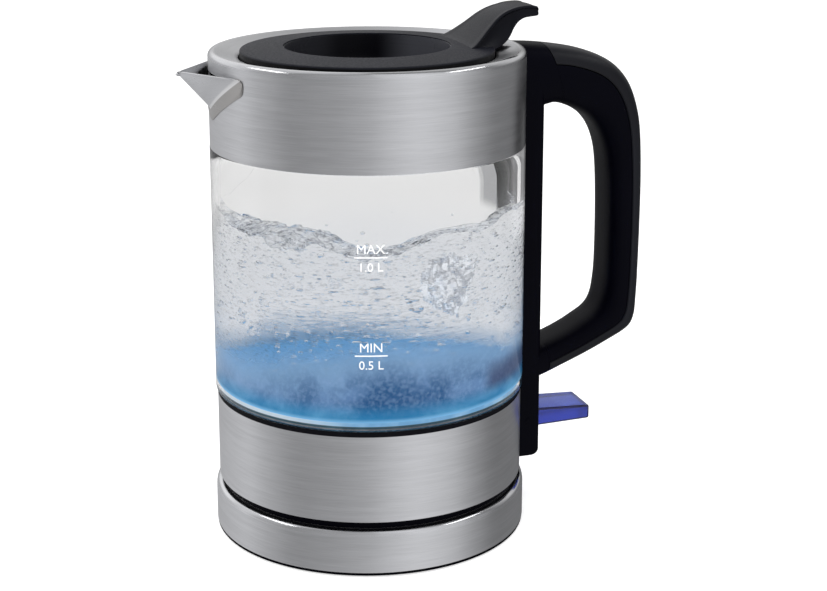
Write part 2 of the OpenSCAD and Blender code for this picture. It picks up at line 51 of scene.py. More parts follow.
GLASS_R, GLASS_IN_R = 66.2, 63.0
GLASS_LOW, GLASS_TOP = 61.8, 166.7
CUP_IN_R, FLOOR_Z, SEAL_TOP = 61.4, 53.8, 64.8
WATER_Z, MAX_Z, MIN_Z = 142.3, 134.0, 93.9
COLLAR_R, COLLAR_WALL, RIM_Z, RIM_ROUND, RIM_SLOPE, LIP_R, LIP_LOW_Z = 66.1, 0.7, 206.4, 2.2, 16.7, 53.6, 201.6
BASE_R, BASE_H, BASE_WALL, BASE_LIP_R = 67.0, 19.5, 0.8, 61.4
CORD_Z, CORD_HOLE_R = 9.5, 6
LID_R, DISH_R, LID_Z, LID_EDGE_Z, DOME_Z, DISH_FLOOR_Z = 53.0, 34.4, 201.2, 206.0, 207.5, 193.4
HINGE_X, HINGE_Z, LUG_R, LUG_HALF = 57.0, 203.0, 1.95, 5.9
STRAP_X, STRAP_Z, STRAP_TOP = 75.4, 21.8, 191.0
HANDLE_HALF, GRIP_POWER = 12.5, 3.2
SPOUT_REACH, SPOUT_TIP_Z, SPOUT_ANGLE, SPOUT_KEEL_Z, SPOUT_TOP_Z = 80.8, 200.6, 25.0, 184.7, 200.0
LEVER_FROM, LEVER_REACH, LEVER_HALF = 70.0, 100.2, 9.75
# The side of the object that is nearest to the camera, and where the litre scale is, in degrees round Z
VIEW_AZIMUTH, SCALE_AZIMUTH = -106.65, -106.0
SHARP = 38.0


# ---- Surfaces ----

def loop_faces(rows, columns, wrap_rows, wrap_columns):
    """Quads of a grid: corner (i, j) joins (i, j+1), (i+1, j+1) and (i+1, j). A wrapped side runs back to its
    start."""
    at = np.arange(rows * columns).reshape(rows, columns)
    at = np.pad(at, ((0, int(wrap_rows)), (0, int(wrap_columns))), "wrap")
    return np.stack([at[:-1, :-1], at[:-1, 1:], at[1:, 1:], at[1:, :-1]], -1).reshape(-1, 4)


def end_fans(count, first, last):
    """Triangles from two poles, numbered count and count + 1, to the closed rings of corners first and last."""
    return [np.stack([np.full(len(first), count), np.roll(first, -1), first], -1),
            np.stack([np.full(len(last), count + 1), last, np.roll(last, -1)], -1)]


def full_turn(count):
    """Angles spaced evenly round one turn, from 0."""
    return np.linspace(0, 2 * np.pi, count, endpoint=False)


def polar(r, turn, z):
    """Points (r cos turn, r sin turn, z), each of the three spread over the others' axes."""
    return np.stack(np.broadcast_arrays(r * np.cos(turn), r * np.sin(turn), z), -1)


def mesh_of(name, points, faces, sharp=SHARP):
    """Mesh of points in millimetres and faces of 3 or 4 corners, turned so that the volume they close is positive,
    which makes them point outwards."""
    points = np.asarray(points, float).reshape(-1, 3) * MM
    faces = [np.asarray(f, int) for f in faces if len(f)]
    fans = [np.stack([f[:, 0], f[:, k], f[:, k + 1]], -1) for f in faces for k in range(1, f.shape[1] - 1)]
    a, b, c = (points[np.concatenate(fans)[:, k]] for k in range(3))
    if (a * np.cross(b, c)).sum() < 0:
        faces = [f[:, ::-1] for f in faces]
    mesh = bpy.data.meshes.new(name)
    sizes = np.concatenate([np.full(len(f), f.shape[1]) for f in faces])
    corners = np.concatenate([f.ravel() for f in faces])
    mesh.vertices.add(len(points))
    mesh.vertices.foreach_set("co", points.ravel())
    mesh.loops.add(len(corners))
    mesh.loops.foreach_set("vertex_index", corners)
    mesh.polygons.add(len(sizes))
    mesh.polygons.foreach_set("loop_start", np.concatenate([[0], np.cumsum(sizes)[:-1]]))
    mesh.update(calc_edges=True)
    mesh.validate()
    mesh.polygons.foreach_set("use_smooth", np.ones(len(mesh.polygons), bool))
    mesh.set_sharp_from_angle(angle=math.radians(sharp))
    return mesh


def piece(name, surface, body, material, replaces=(), sharp=SHARP):
    """A finished piece at the origin that rides on a body, with its material. Its surface is a mesh, or points and
    faces to make one from."""
    mesh = mesh_of(name, *surface, sharp) if isinstance(surface, tuple) else surface
    made = bpy.data.objects.new(name, mesh)
    bpy.context.scene.collection.objects.link(made)
    mesh.materials.append(material)
    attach(made, body)
    if replaces:
        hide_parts(*replaces)


def without(mesh, **cutters):
    """The mesh with each cutter's space taken out, worked out once and kept as a plain mesh."""
    for name, cutter in cutters.items():
        made, tool = (bpy.data.objects.new(m.name + "_work", m) for m in (mesh, mesh_of(name, *cutter)))
        for work in (made, tool):
            bpy.context.scene.collection.objects.link(work)
        cut = made.modifiers.new("cut", "BOOLEAN")
        cut.operation, cut.object, cut.solver = "DIFFERENCE", tool, "EXACT"
        bpy.context.view_layer.update()
        mesh = bpy.data.meshes.new_from_object(made.evaluated_get(bpy.context.evaluated_depsgraph_get()))
        for work in (made, tool):
            bpy.data.objects.remove(work)
        mesh.set_sharp_from_angle(angle=math.radians(SHARP))
    return mesh


def fillet(corners, radius, steps=5, closed=True):
    """Outline in a plane with each corner cut back along both sides by the same length and joined by a quadratic
    curve, B(t) = (1-t)^2 before + 2t(1-t) corner + t^2 after. radius is one number or one a corner."""
    corner = np.asarray(corners, float)
    cut = np.broadcast_to(np.asarray(radius, float), len(corner))[:, None]

    def cut_back(neighbour):
        reach = np.linalg.norm(neighbour - corner, axis=1, keepdims=True)
        return corner + (neighbour - corner) / reach * np.minimum(cut, reach * 0.49)

    before, after = cut_back(np.roll(corner, 1, 0)), cut_back(np.roll(corner, -1, 0))
    t = np.linspace(0, 1, steps)[None, :, None]
    curve = (1 - t) ** 2 * before[:, None] + 2 * t * (1 - t) * corner[:, None] + t ** 2 * after[:, None]
    if not closed:
        curve[0], curve[-1] = corner[0], corner[-1]
    flat = curve.reshape(-1, corner.shape[1])
    keep = np.concatenate([[True], np.linalg.norm(np.diff(flat, axis=0), axis=1) > 1e-6])
    if closed and np.linalg.norm(flat[0] - flat[-1]) < 1e-6:
        keep[-1] = False
    return flat[keep]


def dense(outline, step, closed=True):
    """The outline with extra points on its long straight runs, none further apart than step."""
    points = np.asarray(outline, float)
    ends = np.roll(points, -1, 0) if closed else np.concatenate([points[1:], points[-1:]])
    counts = np.maximum(np.ceil(np.linalg.norm(ends - points, axis=1) / step).astype(int), 1)
    if not closed:
        counts[-1] = 1
    share = np.concatenate([np.arange(n) / n for n in counts])[:, None]
    which = np.repeat(np.arange(len(points)), counts)
    return points[which] * (1 - share) + ends[which] * share


def spun(grid, poles):
    """Skin over a grid (segments, points, 3) that closes round its first axis and ends in fans round two poles."""
    segments, m = grid.shape[:2]
    first = np.arange(segments) * m
    return (np.concatenate([grid.reshape(-1, 3), poles]),
            [loop_faces(segments, m, True, False), *end_fans(segments * m, first, first + m - 1)])


def turned(profile, segments=192, closed=True):
    """Surface of revolution about Z: (r cos a, r sin a, z) for each profile point (r, z).
    An open profile starts and ends on the axis, where its rings close in a fan."""
    profile = np.asarray(profile, float)
    r, z = (profile if closed else profile[1:-1]).T[:, None]
    grid = polar(r, full_turn(segments)[:, None], z)
    if closed:
        return grid, [loop_faces(segments, len(profile), True, True)]
    return spun(grid, [[0, 0, profile[0, 1]], [0, 0, profile[-1, 1]]])


def lofted(rings):
    """Closed skin over a run of closed rings (rings, points, 3); each end closes in a fan round its ring's middle."""
    rings = np.asarray(rings, float)
    rows, columns = rings.shape[:2]
    first = np.arange(columns)
    points = np.concatenate([rings.reshape(-1, 3), rings[:1].mean(1), rings[-1:].mean(1)])
    return points, [loop_faces(rows, columns, False, True),
                    *end_fans(rows * columns, first, (rows - 1) * columns + first)]


def through(stations, per_span):
    """Catmull-Rom curve through each column of the stations:
    p(t) = 0.5 (2b + (c-a)t + (2a-5b+4c-d)t^2 + (3b-a-3c+d)t^3)."""
    s = np.asarray(stations, float)
    a, b, c, d = s[np.r_[0, 0:len(s) - 2]], s[:-1], s[1:], s[np.r_[2:len(s), len(s) - 1]]
    t = (np.arange(per_span) / per_span)[None, :, None]
    a, b, c, d = (p[:, None] for p in (a, b, c, d))
    curve = 0.5 * (2 * b + (c - a) * t + (2 * a - 5 * b + 4 * c - d) * t ** 2 + (3 * b - a - 3 * c + d) * t ** 3)
    return np.concatenate([curve.reshape(-1, s.shape[1]), s[-1:]])


def ease(x, low, high):
    """Smooth step from 0 at low to 1 at high: 3t^2 - 2t^3."""
    t = np.clip((x - low) / (high - low), 0, 1)
    return t * t * (3 - 2 * t)


# ---- Shader expressions ----

def rgb(red, green, blue):
    """A screen colour of 0 to 255 as linear light."""
    return tuple((c / 255 / 12.92) if c <= 10 else ((c / 255 + 0.055) / 1.055) ** 2.4 for c in (red, green, blue))


class Wire:
    """A socket in a shader expression. Arithmetic on it adds Math nodes."""

    def __init__(self, nodes, socket):
        self.nodes, self.socket = nodes, socket

    def math(self, operation, *others):
        return self.nodes.node("ShaderNodeMath", {"operation": operation}, [self, *others])

    def __add__(self, other): return self.math("ADD", other)
    def __radd__(self, other): return self.math("ADD", other)
    def __sub__(self, other): return self.math("SUBTRACT", other)
    def __rsub__(self, other): return self.nodes.node("ShaderNodeMath", {"operation": "SUBTRACT"}, [other, self])
    def __mul__(self, other): return self.math("MULTIPLY", other)
    def __rmul__(self, other): return self.math("MULTIPLY", other)
    def __truediv__(self, other): return self.math("DIVIDE", other)
    def __pow__(self, other): return self.math("POWER", other)

    def step(self, low, high, start=0.0, stop=1.0):
        """Smooth step between low and high, scaled to run from start to stop."""
        return self.nodes.node("ShaderNodeMapRange", {"interpolation_type": "SMOOTHSTEP"},
                               [self, low, high, start, stop])


class Nodes:
    """The node tree of a material or a world, and the one way in which its nodes are made."""

    def __init__(self, owner, place):
        owner.use_nodes = True
        self.made, self.tree = owner, owner.node_tree
        self.tree.nodes.clear()
        self.at = self.node("ShaderNodeTexCoord", out=place)
        self.x, self.y, self.z = (self.node("ShaderNodeSeparateXYZ", {}, [self.at], out=axis) for axis in "XYZ")

    def node(self, kind, settings=None, values=(), out=0):
        """A node of a type: its settings first, then its sockets' values or links by place or name, and the output
        asked for. The stops of a ramp are places and colours."""
        made = self.tree.nodes.new(kind)
        for key, value in (settings or {}).items():
            if key == "stops":
                made.color_ramp.interpolation = "EASE"
                while len(made.color_ramp.elements) < len(value):
                    made.color_ramp.elements.new(0.5)
                for element, (place, colour) in zip(made.color_ramp.elements, value):
                    element.position, element.color = place, (*colour, 1)
            else:
                setattr(made, key, value)
        for key, value in values.items() if isinstance(values, dict) else enumerate(values):
            socket = made.inputs[key]
            if isinstance(value, Wire):
                self.tree.links.new(value.socket, socket)
            else:
                size = len(socket.default_value) if hasattr(socket.default_value, "__len__") else 0
                socket.default_value = (*value, 1)[:size] if size else value
        return Wire(self, made.outputs[out])

    def mixed(self, share, first, second):
        """Two shaders mixed by a share."""
        return self.node("ShaderNodeMixShader", {}, [share, first, second])

    def close(self, kind, shader):
        """Links the shader to the tree's output and gives back the material or world."""
        self.tree.links.new(shader.socket, self.tree.nodes.new(kind).inputs["Surface"])
        return self.made


class Finish(Nodes):
    """A material."""

    def __init__(self, name):
        super().__init__(bpy.data.materials.new(name), "Object")

    def reach(self):
        """Distance from the axis."""
        return (self.x * self.x + self.y * self.y) ** 0.5

    def vector(self, x, y, z):
        return self.node("ShaderNodeCombineXYZ", {}, [x, y, z])

    def pressed(self, height):
        """Coordinates with the height multiplied, so that a noise on them is that much flatter."""
        return self.vector(self.x, self.y, self.z * height)

    def noise(self, scale, detail, rough, twist=0.0, at=None):
        """Fractal noise of 0 to 1; scale is in features a metre on Object coordinates."""
        return self.node("ShaderNodeTexNoise", {}, {"Vector": at or self.at, "Scale": scale, "Detail": detail,
                         "Roughness": rough, "Distortion": twist})

    def blend(self, share, first, second):
        """Colours mixed by a share; each is a colour or a link."""
        return self.node("ShaderNodeMix", {"data_type": "RGBA"}, {0: share, 6: first, 7: second}, out=2)

    def bump(self, height, distance):
        """A bumped normal; distance is in metres."""
        return self.node("ShaderNodeBump", {}, {"Height": height, "Distance": distance}, out="Normal")

    def shader(self, **sockets):
        """A Principled shader, its sockets named with _ for spaces."""
        return self.node("ShaderNodeBsdfPrincipled", {},
                         {key.replace("_", " "): value for key, value in sockets.items()})

    def output(self, shader):
        return self.close("ShaderNodeOutputMaterial", shader)

    def surface(self, **sockets):
        """Closes the material with one Principled shader."""
        return self.output(self.shader(**sockets))


# ---- Finishes ----

def brushed_steel(name, tone=0.60, rough=0.36, streaks=1.0, rolled=None, flange=None):
    """Stainless steel brushed round the axis: streaks run along the turn and change quickly along height plus radius.
    Above the height rolled, in metres, the edge is smoother. Within the radius flange it is warmer and darker: a warm
    tint, and painted shade of the fold, with a painted highlight along the crease at its edge."""
    f = Finish(name)
    reach = f.reach()
    rise = f.z + reach

    def streaky(scale, detail, roughness, fineness):
        return f.noise(scale, detail, roughness, at=f.vector(f.x / reach, f.y / reach, rise * fineness))

    fine, broad, lines = streaky(5.0, 3, 0.6, 900), streaky(1.7, 2, 0.5, 330), streaky(3.2, 1, 0.5, 1500)
    grain = fine * 0.6 + broad * 0.4
    dark, light = (tuple(tone * k * c for c in (0.985, 0.99, 1.012)) for k in (1 - 0.1 * streaks, 1 + 0.08 * streaks))
    metal = f.blend(grain.step(0.32, 0.68), dark, light)
    if flange:
        # painted shade: the flange is darkened, and given a warm tint
        metal = f.blend(reach.step(flange, flange + 0.0001), tuple(tone * c for c in (0.66, 0.64, 0.62)), metal)
        # painted highlight: a bright line along the flange's crease
        crease = reach.step(flange, flange + 0.0001) * reach.step(flange + 0.0003, flange + 0.0008, 1.0, 0.0)
        metal = f.blend(crease * 0.7, metal, (0.86, 0.855, 0.85))
    haze = grain.step(0.3, 0.7, rough - 0.04, rough + 0.06)
    if rolled:
        haze = haze * (1.0 - f.z.step(rolled, rolled + 0.0014) * reach.step(0.063, 0.064) * 0.55)
    scratch = lines.step(0.68, 0.8) * 0.3
    return f.surface(Base_Color=f.blend(scratch, metal, (0.86, 0.865, 0.87)), Metallic=1.0, Anisotropic=0.72,
                     Anisotropic_Rotation=0.25, Roughness=haze, Normal=f.bump(fine, 0.000014))


def moulded_black(name, shade=(3, 3, 11), rough=0.4, shine=0.04, grain=0.00003, size=2600, area=None, tone=1.0):
    """Black plastic with a fine spark eroded grain, slightly paler and duller in patches. In the area, its colour is
    multiplied by tone, which paints shade there where tone is below 1 and light where it is above."""
    f = Finish(name)
    pits, handled = f.noise(size, 2, 0.6), f.noise(28, 3, 0.5)
    base = rgb(*shade)
    colour = f.blend(handled.step(0.35, 0.7) * 0.5 + pits.step(0.4, 0.75) * 0.5, base, tuple(1.45 * c for c in base))
    # painted shade where tone is below 1 and painted light where it is above, within the area
    if area:
        colour = f.blend(area(f), colour, tuple(tone * c for c in base))
    return f.surface(Base_Color=colour, Roughness=pits.step(0.3, 0.7, rough - 0.05, rough + 0.07),
                     Specular_IOR_Level=shine, Normal=f.bump(pits, grain))


def polished_black():
    """Glossy black plastic with faint turning marks round the dish, and a painted sheen: paler towards one side of
    the view and a little towards the other."""
    f = Finish("gloss_black_plastic")
    flow, lines = f.noise(60, 3, 0.5), f.noise(1.5, 2, 0.5, at=f.pressed(900))
    side = math.radians(VIEW_AZIMUTH + 90)
    across = (f.x * math.cos(side) + f.y * math.sin(side)) / (DISH_R * MM)
    # painted sheen: the dish wall is paler towards the right of the view, and a little towards the left
    painted_sheen = across.step(0.1, 0.6) + across.step(-0.75, -0.3, 0.42, 0.0)
    return f.surface(Base_Color=f.blend(painted_sheen * (0.8 + lines * 0.4), rgb(0, 0, 5), rgb(66, 67, 73)),
                     Roughness=flow.step(0.3, 0.7, 0.26, 0.33), Anisotropic=0.8, Anisotropic_Rotation=0.25,
                     Specular_IOR_Level=0.1, Normal=f.bump(flow, 0.00002))


def jug_glass():
    """Clear borosilicate glass, drawn a little unevenly along its height. Above the water, a painted grey shade of
    the strap darkens it beside the strap, and a thin streaky painted glow lightens it there on the near side."""
    f = Finish("jug_glass")
    drawn = f.noise(9, 2, 0.4, at=f.pressed(0.25))
    above = f.z.step(0.128, 0.134)
    beside = (f.y / f.x).math("ABSOLUTE").step(0.35, 0.38, 1.0, 0.0) * f.x.step(0.0, 0.01)
    # painted shade of the strap: the glass greys beside it, above the water
    shade = beside * above * drawn.step(0.2, 0.8, 0.8, 1.0)
    # painted light: a faint streaky glow beside the strap, on the near side
    painted_glow_streaks = f.x.step(0.044, 0.05) * f.y.step(-0.02, -0.01, 1.0, 0.0) * above
    painted_glow_streaks = painted_glow_streaks * f.noise(70, 3, 0.6, at=f.pressed(0.12)).step(0.35, 0.65, 0.4, 1.3)
    return f.surface(Base_Color=f.blend(shade, (1.0, 1.0, 1.0), (0.4, 0.405, 0.42)), Roughness=0.0, IOR=1.2,
                     Transmission_Weight=1.0, Specular_IOR_Level=0.8, Emission_Strength=1.0,
                     Emission_Color=f.blend(painted_glow_streaks, (0.0, 0.0, 0.0), (0.085, 0.085, 0.087)), Normal=f.bump(drawn, 0.0002))


def clear_water(f, swirl):
    """The clear water: pale grey and streaked by bubbles. Its open surface, and its last waves on the side of +Y, are
    see-through."""
    flat = f.pressed(3.2)
    back = f.y.step(-0.01, 0.03)
    streaks = f.noise(330, 3, 0.62, at=flat).step(0.5, 0.7) * (1.0 - back * 0.85) * f.x.step(-0.01, 0.04, 1.0, 0.6)
    ripple = ((f.noise(150, 3, 0.55, at=flat) + f.noise(60, 2, 0.5, at=f.pressed(9)) * 0.8) * (1.0 - back * 0.8)
              * f.z.step(0.094, 0.118, 0.3, 1.0))
    open_top = f.reach().step(0.0627, 0.0629, 1.0, 0.0) * f.z.step(0.128, 0.131)
    last = (f.z + (swirl - 0.5) * 0.008 - f.y.step(-0.02, 0.025, 0.16, 0.127)).step(-0.022, 0.008)
    return f.shader(Base_Color=f.blend(streaks, rgb(236, 239, 244), rgb(184, 187, 193)), Roughness=0.0, IOR=1.14,
                    Transmission_Weight=1.0, Alpha=1.0 - open_top.math("MAXIMUM", last), Normal=f.bump(ripple, 0.00055))


def lit_water():
    """Boiling water lit from below: clear above, and a blue cloud towards the floor, which stands higher in the middle
    between spout and handle. The cloud's blue is painted light: it glows, in a brighter blue where it is seen from
    within, with a painted cyan glow near the floor and a darker patch of painted shade low on the near side towards
    the handle."""
    f = Finish("lit_water")
    swirl = f.noise(26, 4, 0.6, 0.6)
    billow = f.noise(34, 5, 0.58, 0.5) - f.x.step(-0.05, -0.01, 0.11, 0.0)
    parabola = (f.x / 0.063) * (f.x / 0.063)
    height = f.z + (swirl - 0.5) * 0.018 + (billow - 0.5) * 0.012 + parabola * 0.011 + f.y.step(-0.01, 0.03) * 0.02
    colour = f.blend(billow.step(0.36, 0.64), rgb(28, 74, 122), rgb(92, 126, 170))
    colour = f.blend(f.noise(560, 3, 0.65).step(0.42, 0.66) * 0.3, colour, rgb(132, 162, 196))
    colour = f.blend(height.step(0.072, 0.094) * 0.8, colour, rgb(138, 172, 206))
    # painted shade: a darker patch low on the near side, towards the handle
    painted_shade_patch = (f.x.step(0.03, 0.038) * f.y.step(-0.02, -0.01, 1.0, 0.0) * f.z.step(0.067, 0.071)
            * f.z.step(0.076, 0.086, 0.75, 0.0))
    colour = f.blend(painted_shade_patch, colour, rgb(56, 60, 92))
    # painted glow near the floor: a cyan band, and a brighter cyan under it
    rim = f.blend(billow.step(0.3, 0.7), rgb(20, 108, 160), rgb(84, 150, 192))
    colour = f.blend(f.z.step(0.0664, 0.074), rim, colour)
    colour = f.blend(f.z.step(0.0646, 0.0668), rgb(124, 184, 224), colour)
    # painted light: the cloud glows, in a brighter blue where it is seen from within
    glow = f.blend(f.node("ShaderNodeNewGeometry", out="Backfacing"), colour, (0.2, 0.42, 0.64))
    cloud = f.shader(Base_Color=colour, Roughness=0.35, Emission_Color=glow, Emission_Strength=0.4,
                     Specular_IOR_Level=0.1)
    return f.output(f.mixed(height.step(0.083, 0.103, 0.97, 0.0), clear_water(f, swirl), cloud))


def bubble_skin(name, inside, froth=0.0, dark=(226, 228, 232), glow=0.8, scale=110, level=1.4):
    """Thin wall of a steam bubble in water; inside is the light's index within it. Froth on it is white and glows a
    little as painted light, with dark strokes of painted shade, which lie where a noise passes its middle value and
    are the more level the larger the number level is."""
    f = Finish(name)
    tint = f.noise(120, 2, 0.5).step(0.35, 0.65)
    clear = f.shader(Base_Color=f.blend(tint, rgb(226, 229, 234), rgb(250, 251, 252)),
                     Roughness=0.0, IOR=inside, Transmission_Weight=1.0)
    if not froth:
        return f.output(clear)
    wisps = f.noise(scale * 1.3, 3, 0.55, 1.2)
    painted_shade_stroke = (f.noise(scale, 3, 0.5, 1.8, f.pressed(level)) - 0.5).math("ABSOLUTE")
    # painted shade: dark strokes on the froth
    white = f.blend(painted_shade_stroke.step(0.0, 0.07), rgb(*dark), rgb(250, 251, 252))
    # painted light: the froth glows
    foam = f.shader(Base_Color=white, Roughness=0.5, Emission_Color=white, Emission_Strength=glow)
    return f.output(f.mixed(wisps.step(0.4, 0.5) * froth, clear, foam))


def lever_blue():
    """Clear blue acrylic with painted shade: deeper on its sides and end, and dark along every edge, where two faces
    are both near.
    """
    f = Finish("lever_blue")
    haze = f.noise(90, 3, 0.5)
    past_strap = f.x - STRAP_X * MM
    end, side = LEVER_REACH * MM - f.x, LEVER_HALF * MM - f.y.math("ABSOLUTE")
    face = (0.0423 - past_strap * 0.0444 - f.z).math("MINIMUM", f.z - 0.0343 - past_strap * 0.0282)
    near_end, near_side, near_face = (gap.step(0.0006, 0.0011, 1.0, 0.0) for gap in (end, side, face))
    edges = near_end * near_side + near_end * near_face + near_side * near_face
    body = f.blend(haze.step(0.3, 0.7), rgb(76, 104, 236), rgb(98, 128, 246))
    # painted shade: a deeper blue on the sides and the end
    body = f.blend(near_side * 0.85, body, rgb(46, 66, 204))
    body = f.blend(near_end * 0.7, body, rgb(52, 58, 150))
    # painted shade: darker along every edge
    return f.surface(Base_Color=f.blend(edges, body, rgb(8, 10, 70)), Roughness=haze.step(0.3, 0.7, 0.1, 0.2),
                     IOR=1.49, Transmission_Weight=0.6, Normal=f.bump(haze, 0.00004))


def glowing(name, dim, bright, strength, scale=200):
    """A lit diffuser or lamp, a little uneven."""
    f = Finish(name)
    uneven = f.blend(f.noise(scale, 2, 0.5).step(0.3, 0.7), dim, bright)
    return f.surface(Base_Color=uneven, Roughness=0.4, Emission_Color=uneven, Emission_Strength=strength)


def lit_seal():
    """Clear silicone under the glass, its light painted: it glows in its upper half and whiter towards -X as a painted
    highlight, is darkened in its groove as painted shade, and has a grey painted highlight along its foot.
    """
    f = Finish("lit_silicone_seal")
    uneven = f.noise(90, 3, 0.5).step(0.3, 0.7)
    glow, shade, foot = (f.blend(uneven, rgb(*low), rgb(*high)) for low, high in (
        ((104, 168, 214), (160, 206, 238)), ((30, 62, 76), (50, 90, 106)), ((88, 90, 94), (138, 138, 140))))
    # painted highlight: the glow whitens towards -X
    bright = f.blend(f.x.step(-0.052, -0.02, 1.0, 0.0), glow, rgb(206, 222, 234))
    # painted shade in the groove, and a grey painted highlight along the foot
    colour = f.blend(f.z.step(0.0631, 0.0634), f.blend(f.z.step(0.0622, 0.0624), foot, shade), bright)
    # painted light: the seal glows
    return f.surface(Base_Color=colour, Roughness=0.4, Emission_Color=colour, Emission_Strength=0.22)


def plain(name, dark, light, rough, size, grain, metal=0.0, shine=0.5, glow=0.0):
    """A plain material with its own grain: cast, drawn or moulded. A print glows a little, as painted light, to stay
    white in shade.
    """
    f = Finish(name)
    grit = f.noise(size, 3, 0.6)
    return f.surface(Base_Color=f.blend(grit.step(0.3, 0.7), dark, light), Metallic=metal,
                     Specular_IOR_Level=shine, Roughness=grit.step(0.25, 0.75, rough - 0.06, rough + 0.06),
                     Emission_Color=(1.0, 1.0, 1.0), Emission_Strength=glow, Normal=f.bump(grit, grain))


STEEL = brushed_steel("brushed_steel_shell")
COLLAR_STEEL = brushed_steel("brushed_steel_collar", rolled=0.2036)
BASE_STEEL = brushed_steel("brushed_steel_base", rolled=0.0168)
# the spout's flange carries painted shade and a painted highlight along its crease
SPOUT_STEEL = brushed_steel("brushed_steel_spout", rough=0.3, streaks=0.5, flange=0.0667)
BLACK = moulded_black("black_plastic_grained")
# painted light and shade: the lid's plastic is paler than the other black for its lit top, and its side below the top
# edge is darkened to 0.12
LID_BLACK = moulded_black("black_plastic_lid", (21, 22, 29), 0.5, 0.13, 0.0001, 1300,
                          lambda f: f.z.step(0.2054, 0.2060, 1.0, 0.0), 0.12)
# painted light: the thumb lever's plastic is a paler copy of the black, for its lit faces
LEVER_BLACK = moulded_black("black_plastic_lever", (16, 17, 23), 0.36, 0.08)
# painted light: the cover's plastic is paler than the other black, and its outer side low on the grip is lightened 1.8
# times
CAP_BLACK = moulded_black("black_plastic_cover", (10, 11, 18), 0.4, 0.2,
                          area=lambda f: f.x.step(0.102, 0.118) * f.z.step(0.15, 0.19, 1.0, 0.0), tone=1.8)
GLOSS = polished_black()
GLASS = jug_glass()
WATER = lit_water()
BUBBLE = bubble_skin("bubble_skin", 0.88)
# the steam pocket's and the swell's froth carry painted shade in their dark strokes and painted light in their glow
STEAM = bubble_skin("steam_pocket", 0.97, 0.8, (168, 169, 173), 0.42, 75, 0.8)
SWELL = bubble_skin("surface_swell", 1.2, 0.45, (120, 123, 130), 0.35, 90, 3.4)
BLUE = lever_blue()
# painted light: the print glows a little
PRINT = plain("white_print", (0.92, 0.92, 0.92), (0.98, 0.98, 0.98), 0.5, 3000, 0.00001, glow=0.4)
RUBBER = plain("black_rubber_moulded", rgb(8, 8, 14), rgb(14, 14, 20), 0.72, 1500, 0.00004, shine=0.1)
SILICONE = plain("grey_silicone_moulded", rgb(176, 180, 184), rgb(196, 200, 204), 0.5, 900, 0.00003)
LIT_SEAL = lit_seal()
LIT_RING = glowing("lit_light_ring", rgb(70, 130, 160), rgb(110, 170, 196), 0.12)
LAMP = glowing("lamp_lens", rgb(60, 120, 255), rgb(150, 200, 255), 2.0, 900)
SCREW = plain("screw_steel_plated", (0.42, 0.42, 0.44), (0.58, 0.58, 0.6), 0.34, 1200, 0.00001, metal=1.0)
BRASS = plain("contact_brass_rolled", (0.62, 0.42, 0.16), (0.78, 0.56, 0.24), 0.32, 900, 0.00001, metal=1.0)
ALUMINIUM = plain("cast_aluminium", (0.52, 0.53, 0.55), (0.72, 0.73, 0.75), 0.48, 700, 0.00006, metal=1.0)
IVORY = plain("ivory_plastic_moulded", rgb(206, 200, 184), rgb(222, 217, 202), 0.5, 1400, 0.00002)
BOARD = plain("board_green_lacquer", rgb(12, 60, 34), rgb(22, 92, 52), 0.3, 1100, 0.00001)

for finish, names in (
        (STEEL, "lower_ring lid_inner heating_plate"),
        (BLACK, "base_deck base_cover base_socket jug_bottom jug_plug glass_seat neck_ring filter_frame lever_pin"),
        (IVORY, "trip_rod control_unit"),
        (RUBBER, "foot_ring cord_inlet seal_band upper_seal"),
        (LIT_SEAL, "lower_seal"),
        (SILICONE, "lid_seal steam_tube"),
        (LIT_RING, "light_ring"),
        (LAMP, "leds"),
        (SCREW, "base_screws bottom_screws lid_screws handle_screws hinge_pin bimetal_discs steam_disc filter_mesh "
                "heating_element"),
        (BRASS, "socket_rings centre_contact plug_contacts element_tabs"),
        (ALUMINIUM, "heat_spreader"),
        (BOARD, "led_board")):
    for name in names.split():
        for place in nodes[name].material_slots:
            place.material = finish


# ---- Glass and water ----

def glass_wall():
    """The glass tube with rounded lips at both ends."""
    outline = fillet([(GLASS_IN_R, GLASS_LOW), (GLASS_R, GLASS_LOW), (GLASS_R, GLASS_TOP), (GLASS_IN_R, GLASS_TOP)],
                     0.5, 4)
    piece("glass_wall", turned(dense(outline, 6), 288), "jug", GLASS, ["glass_body"])


def surface_height(x, y):
    """Height of the boiling surface: level plus long and short waves and a hollow at the front, all sums of sines and
    bells."""
    long_wave = 1.5 * np.sin(x / 13 + 0.6) * np.cos(y / 15 - 0.4) + 0.9 * np.sin((x + y) / 8 + 1.2)
    short_wave = 0.45 * np.sin(x / 2.9 + np.sin(y / 4)) * np.cos(y / 3.3 + np.sin(x / 5))
    hollow_x, hollow_y, _ = polar(60, math.radians(VIEW_AZIMUTH + 3), 0)
    return WATER_Z + long_wave + short_wave - 7.0 * np.exp(-((x - hollow_x) ** 2 + (y - hollow_y) ** 2) / 260)


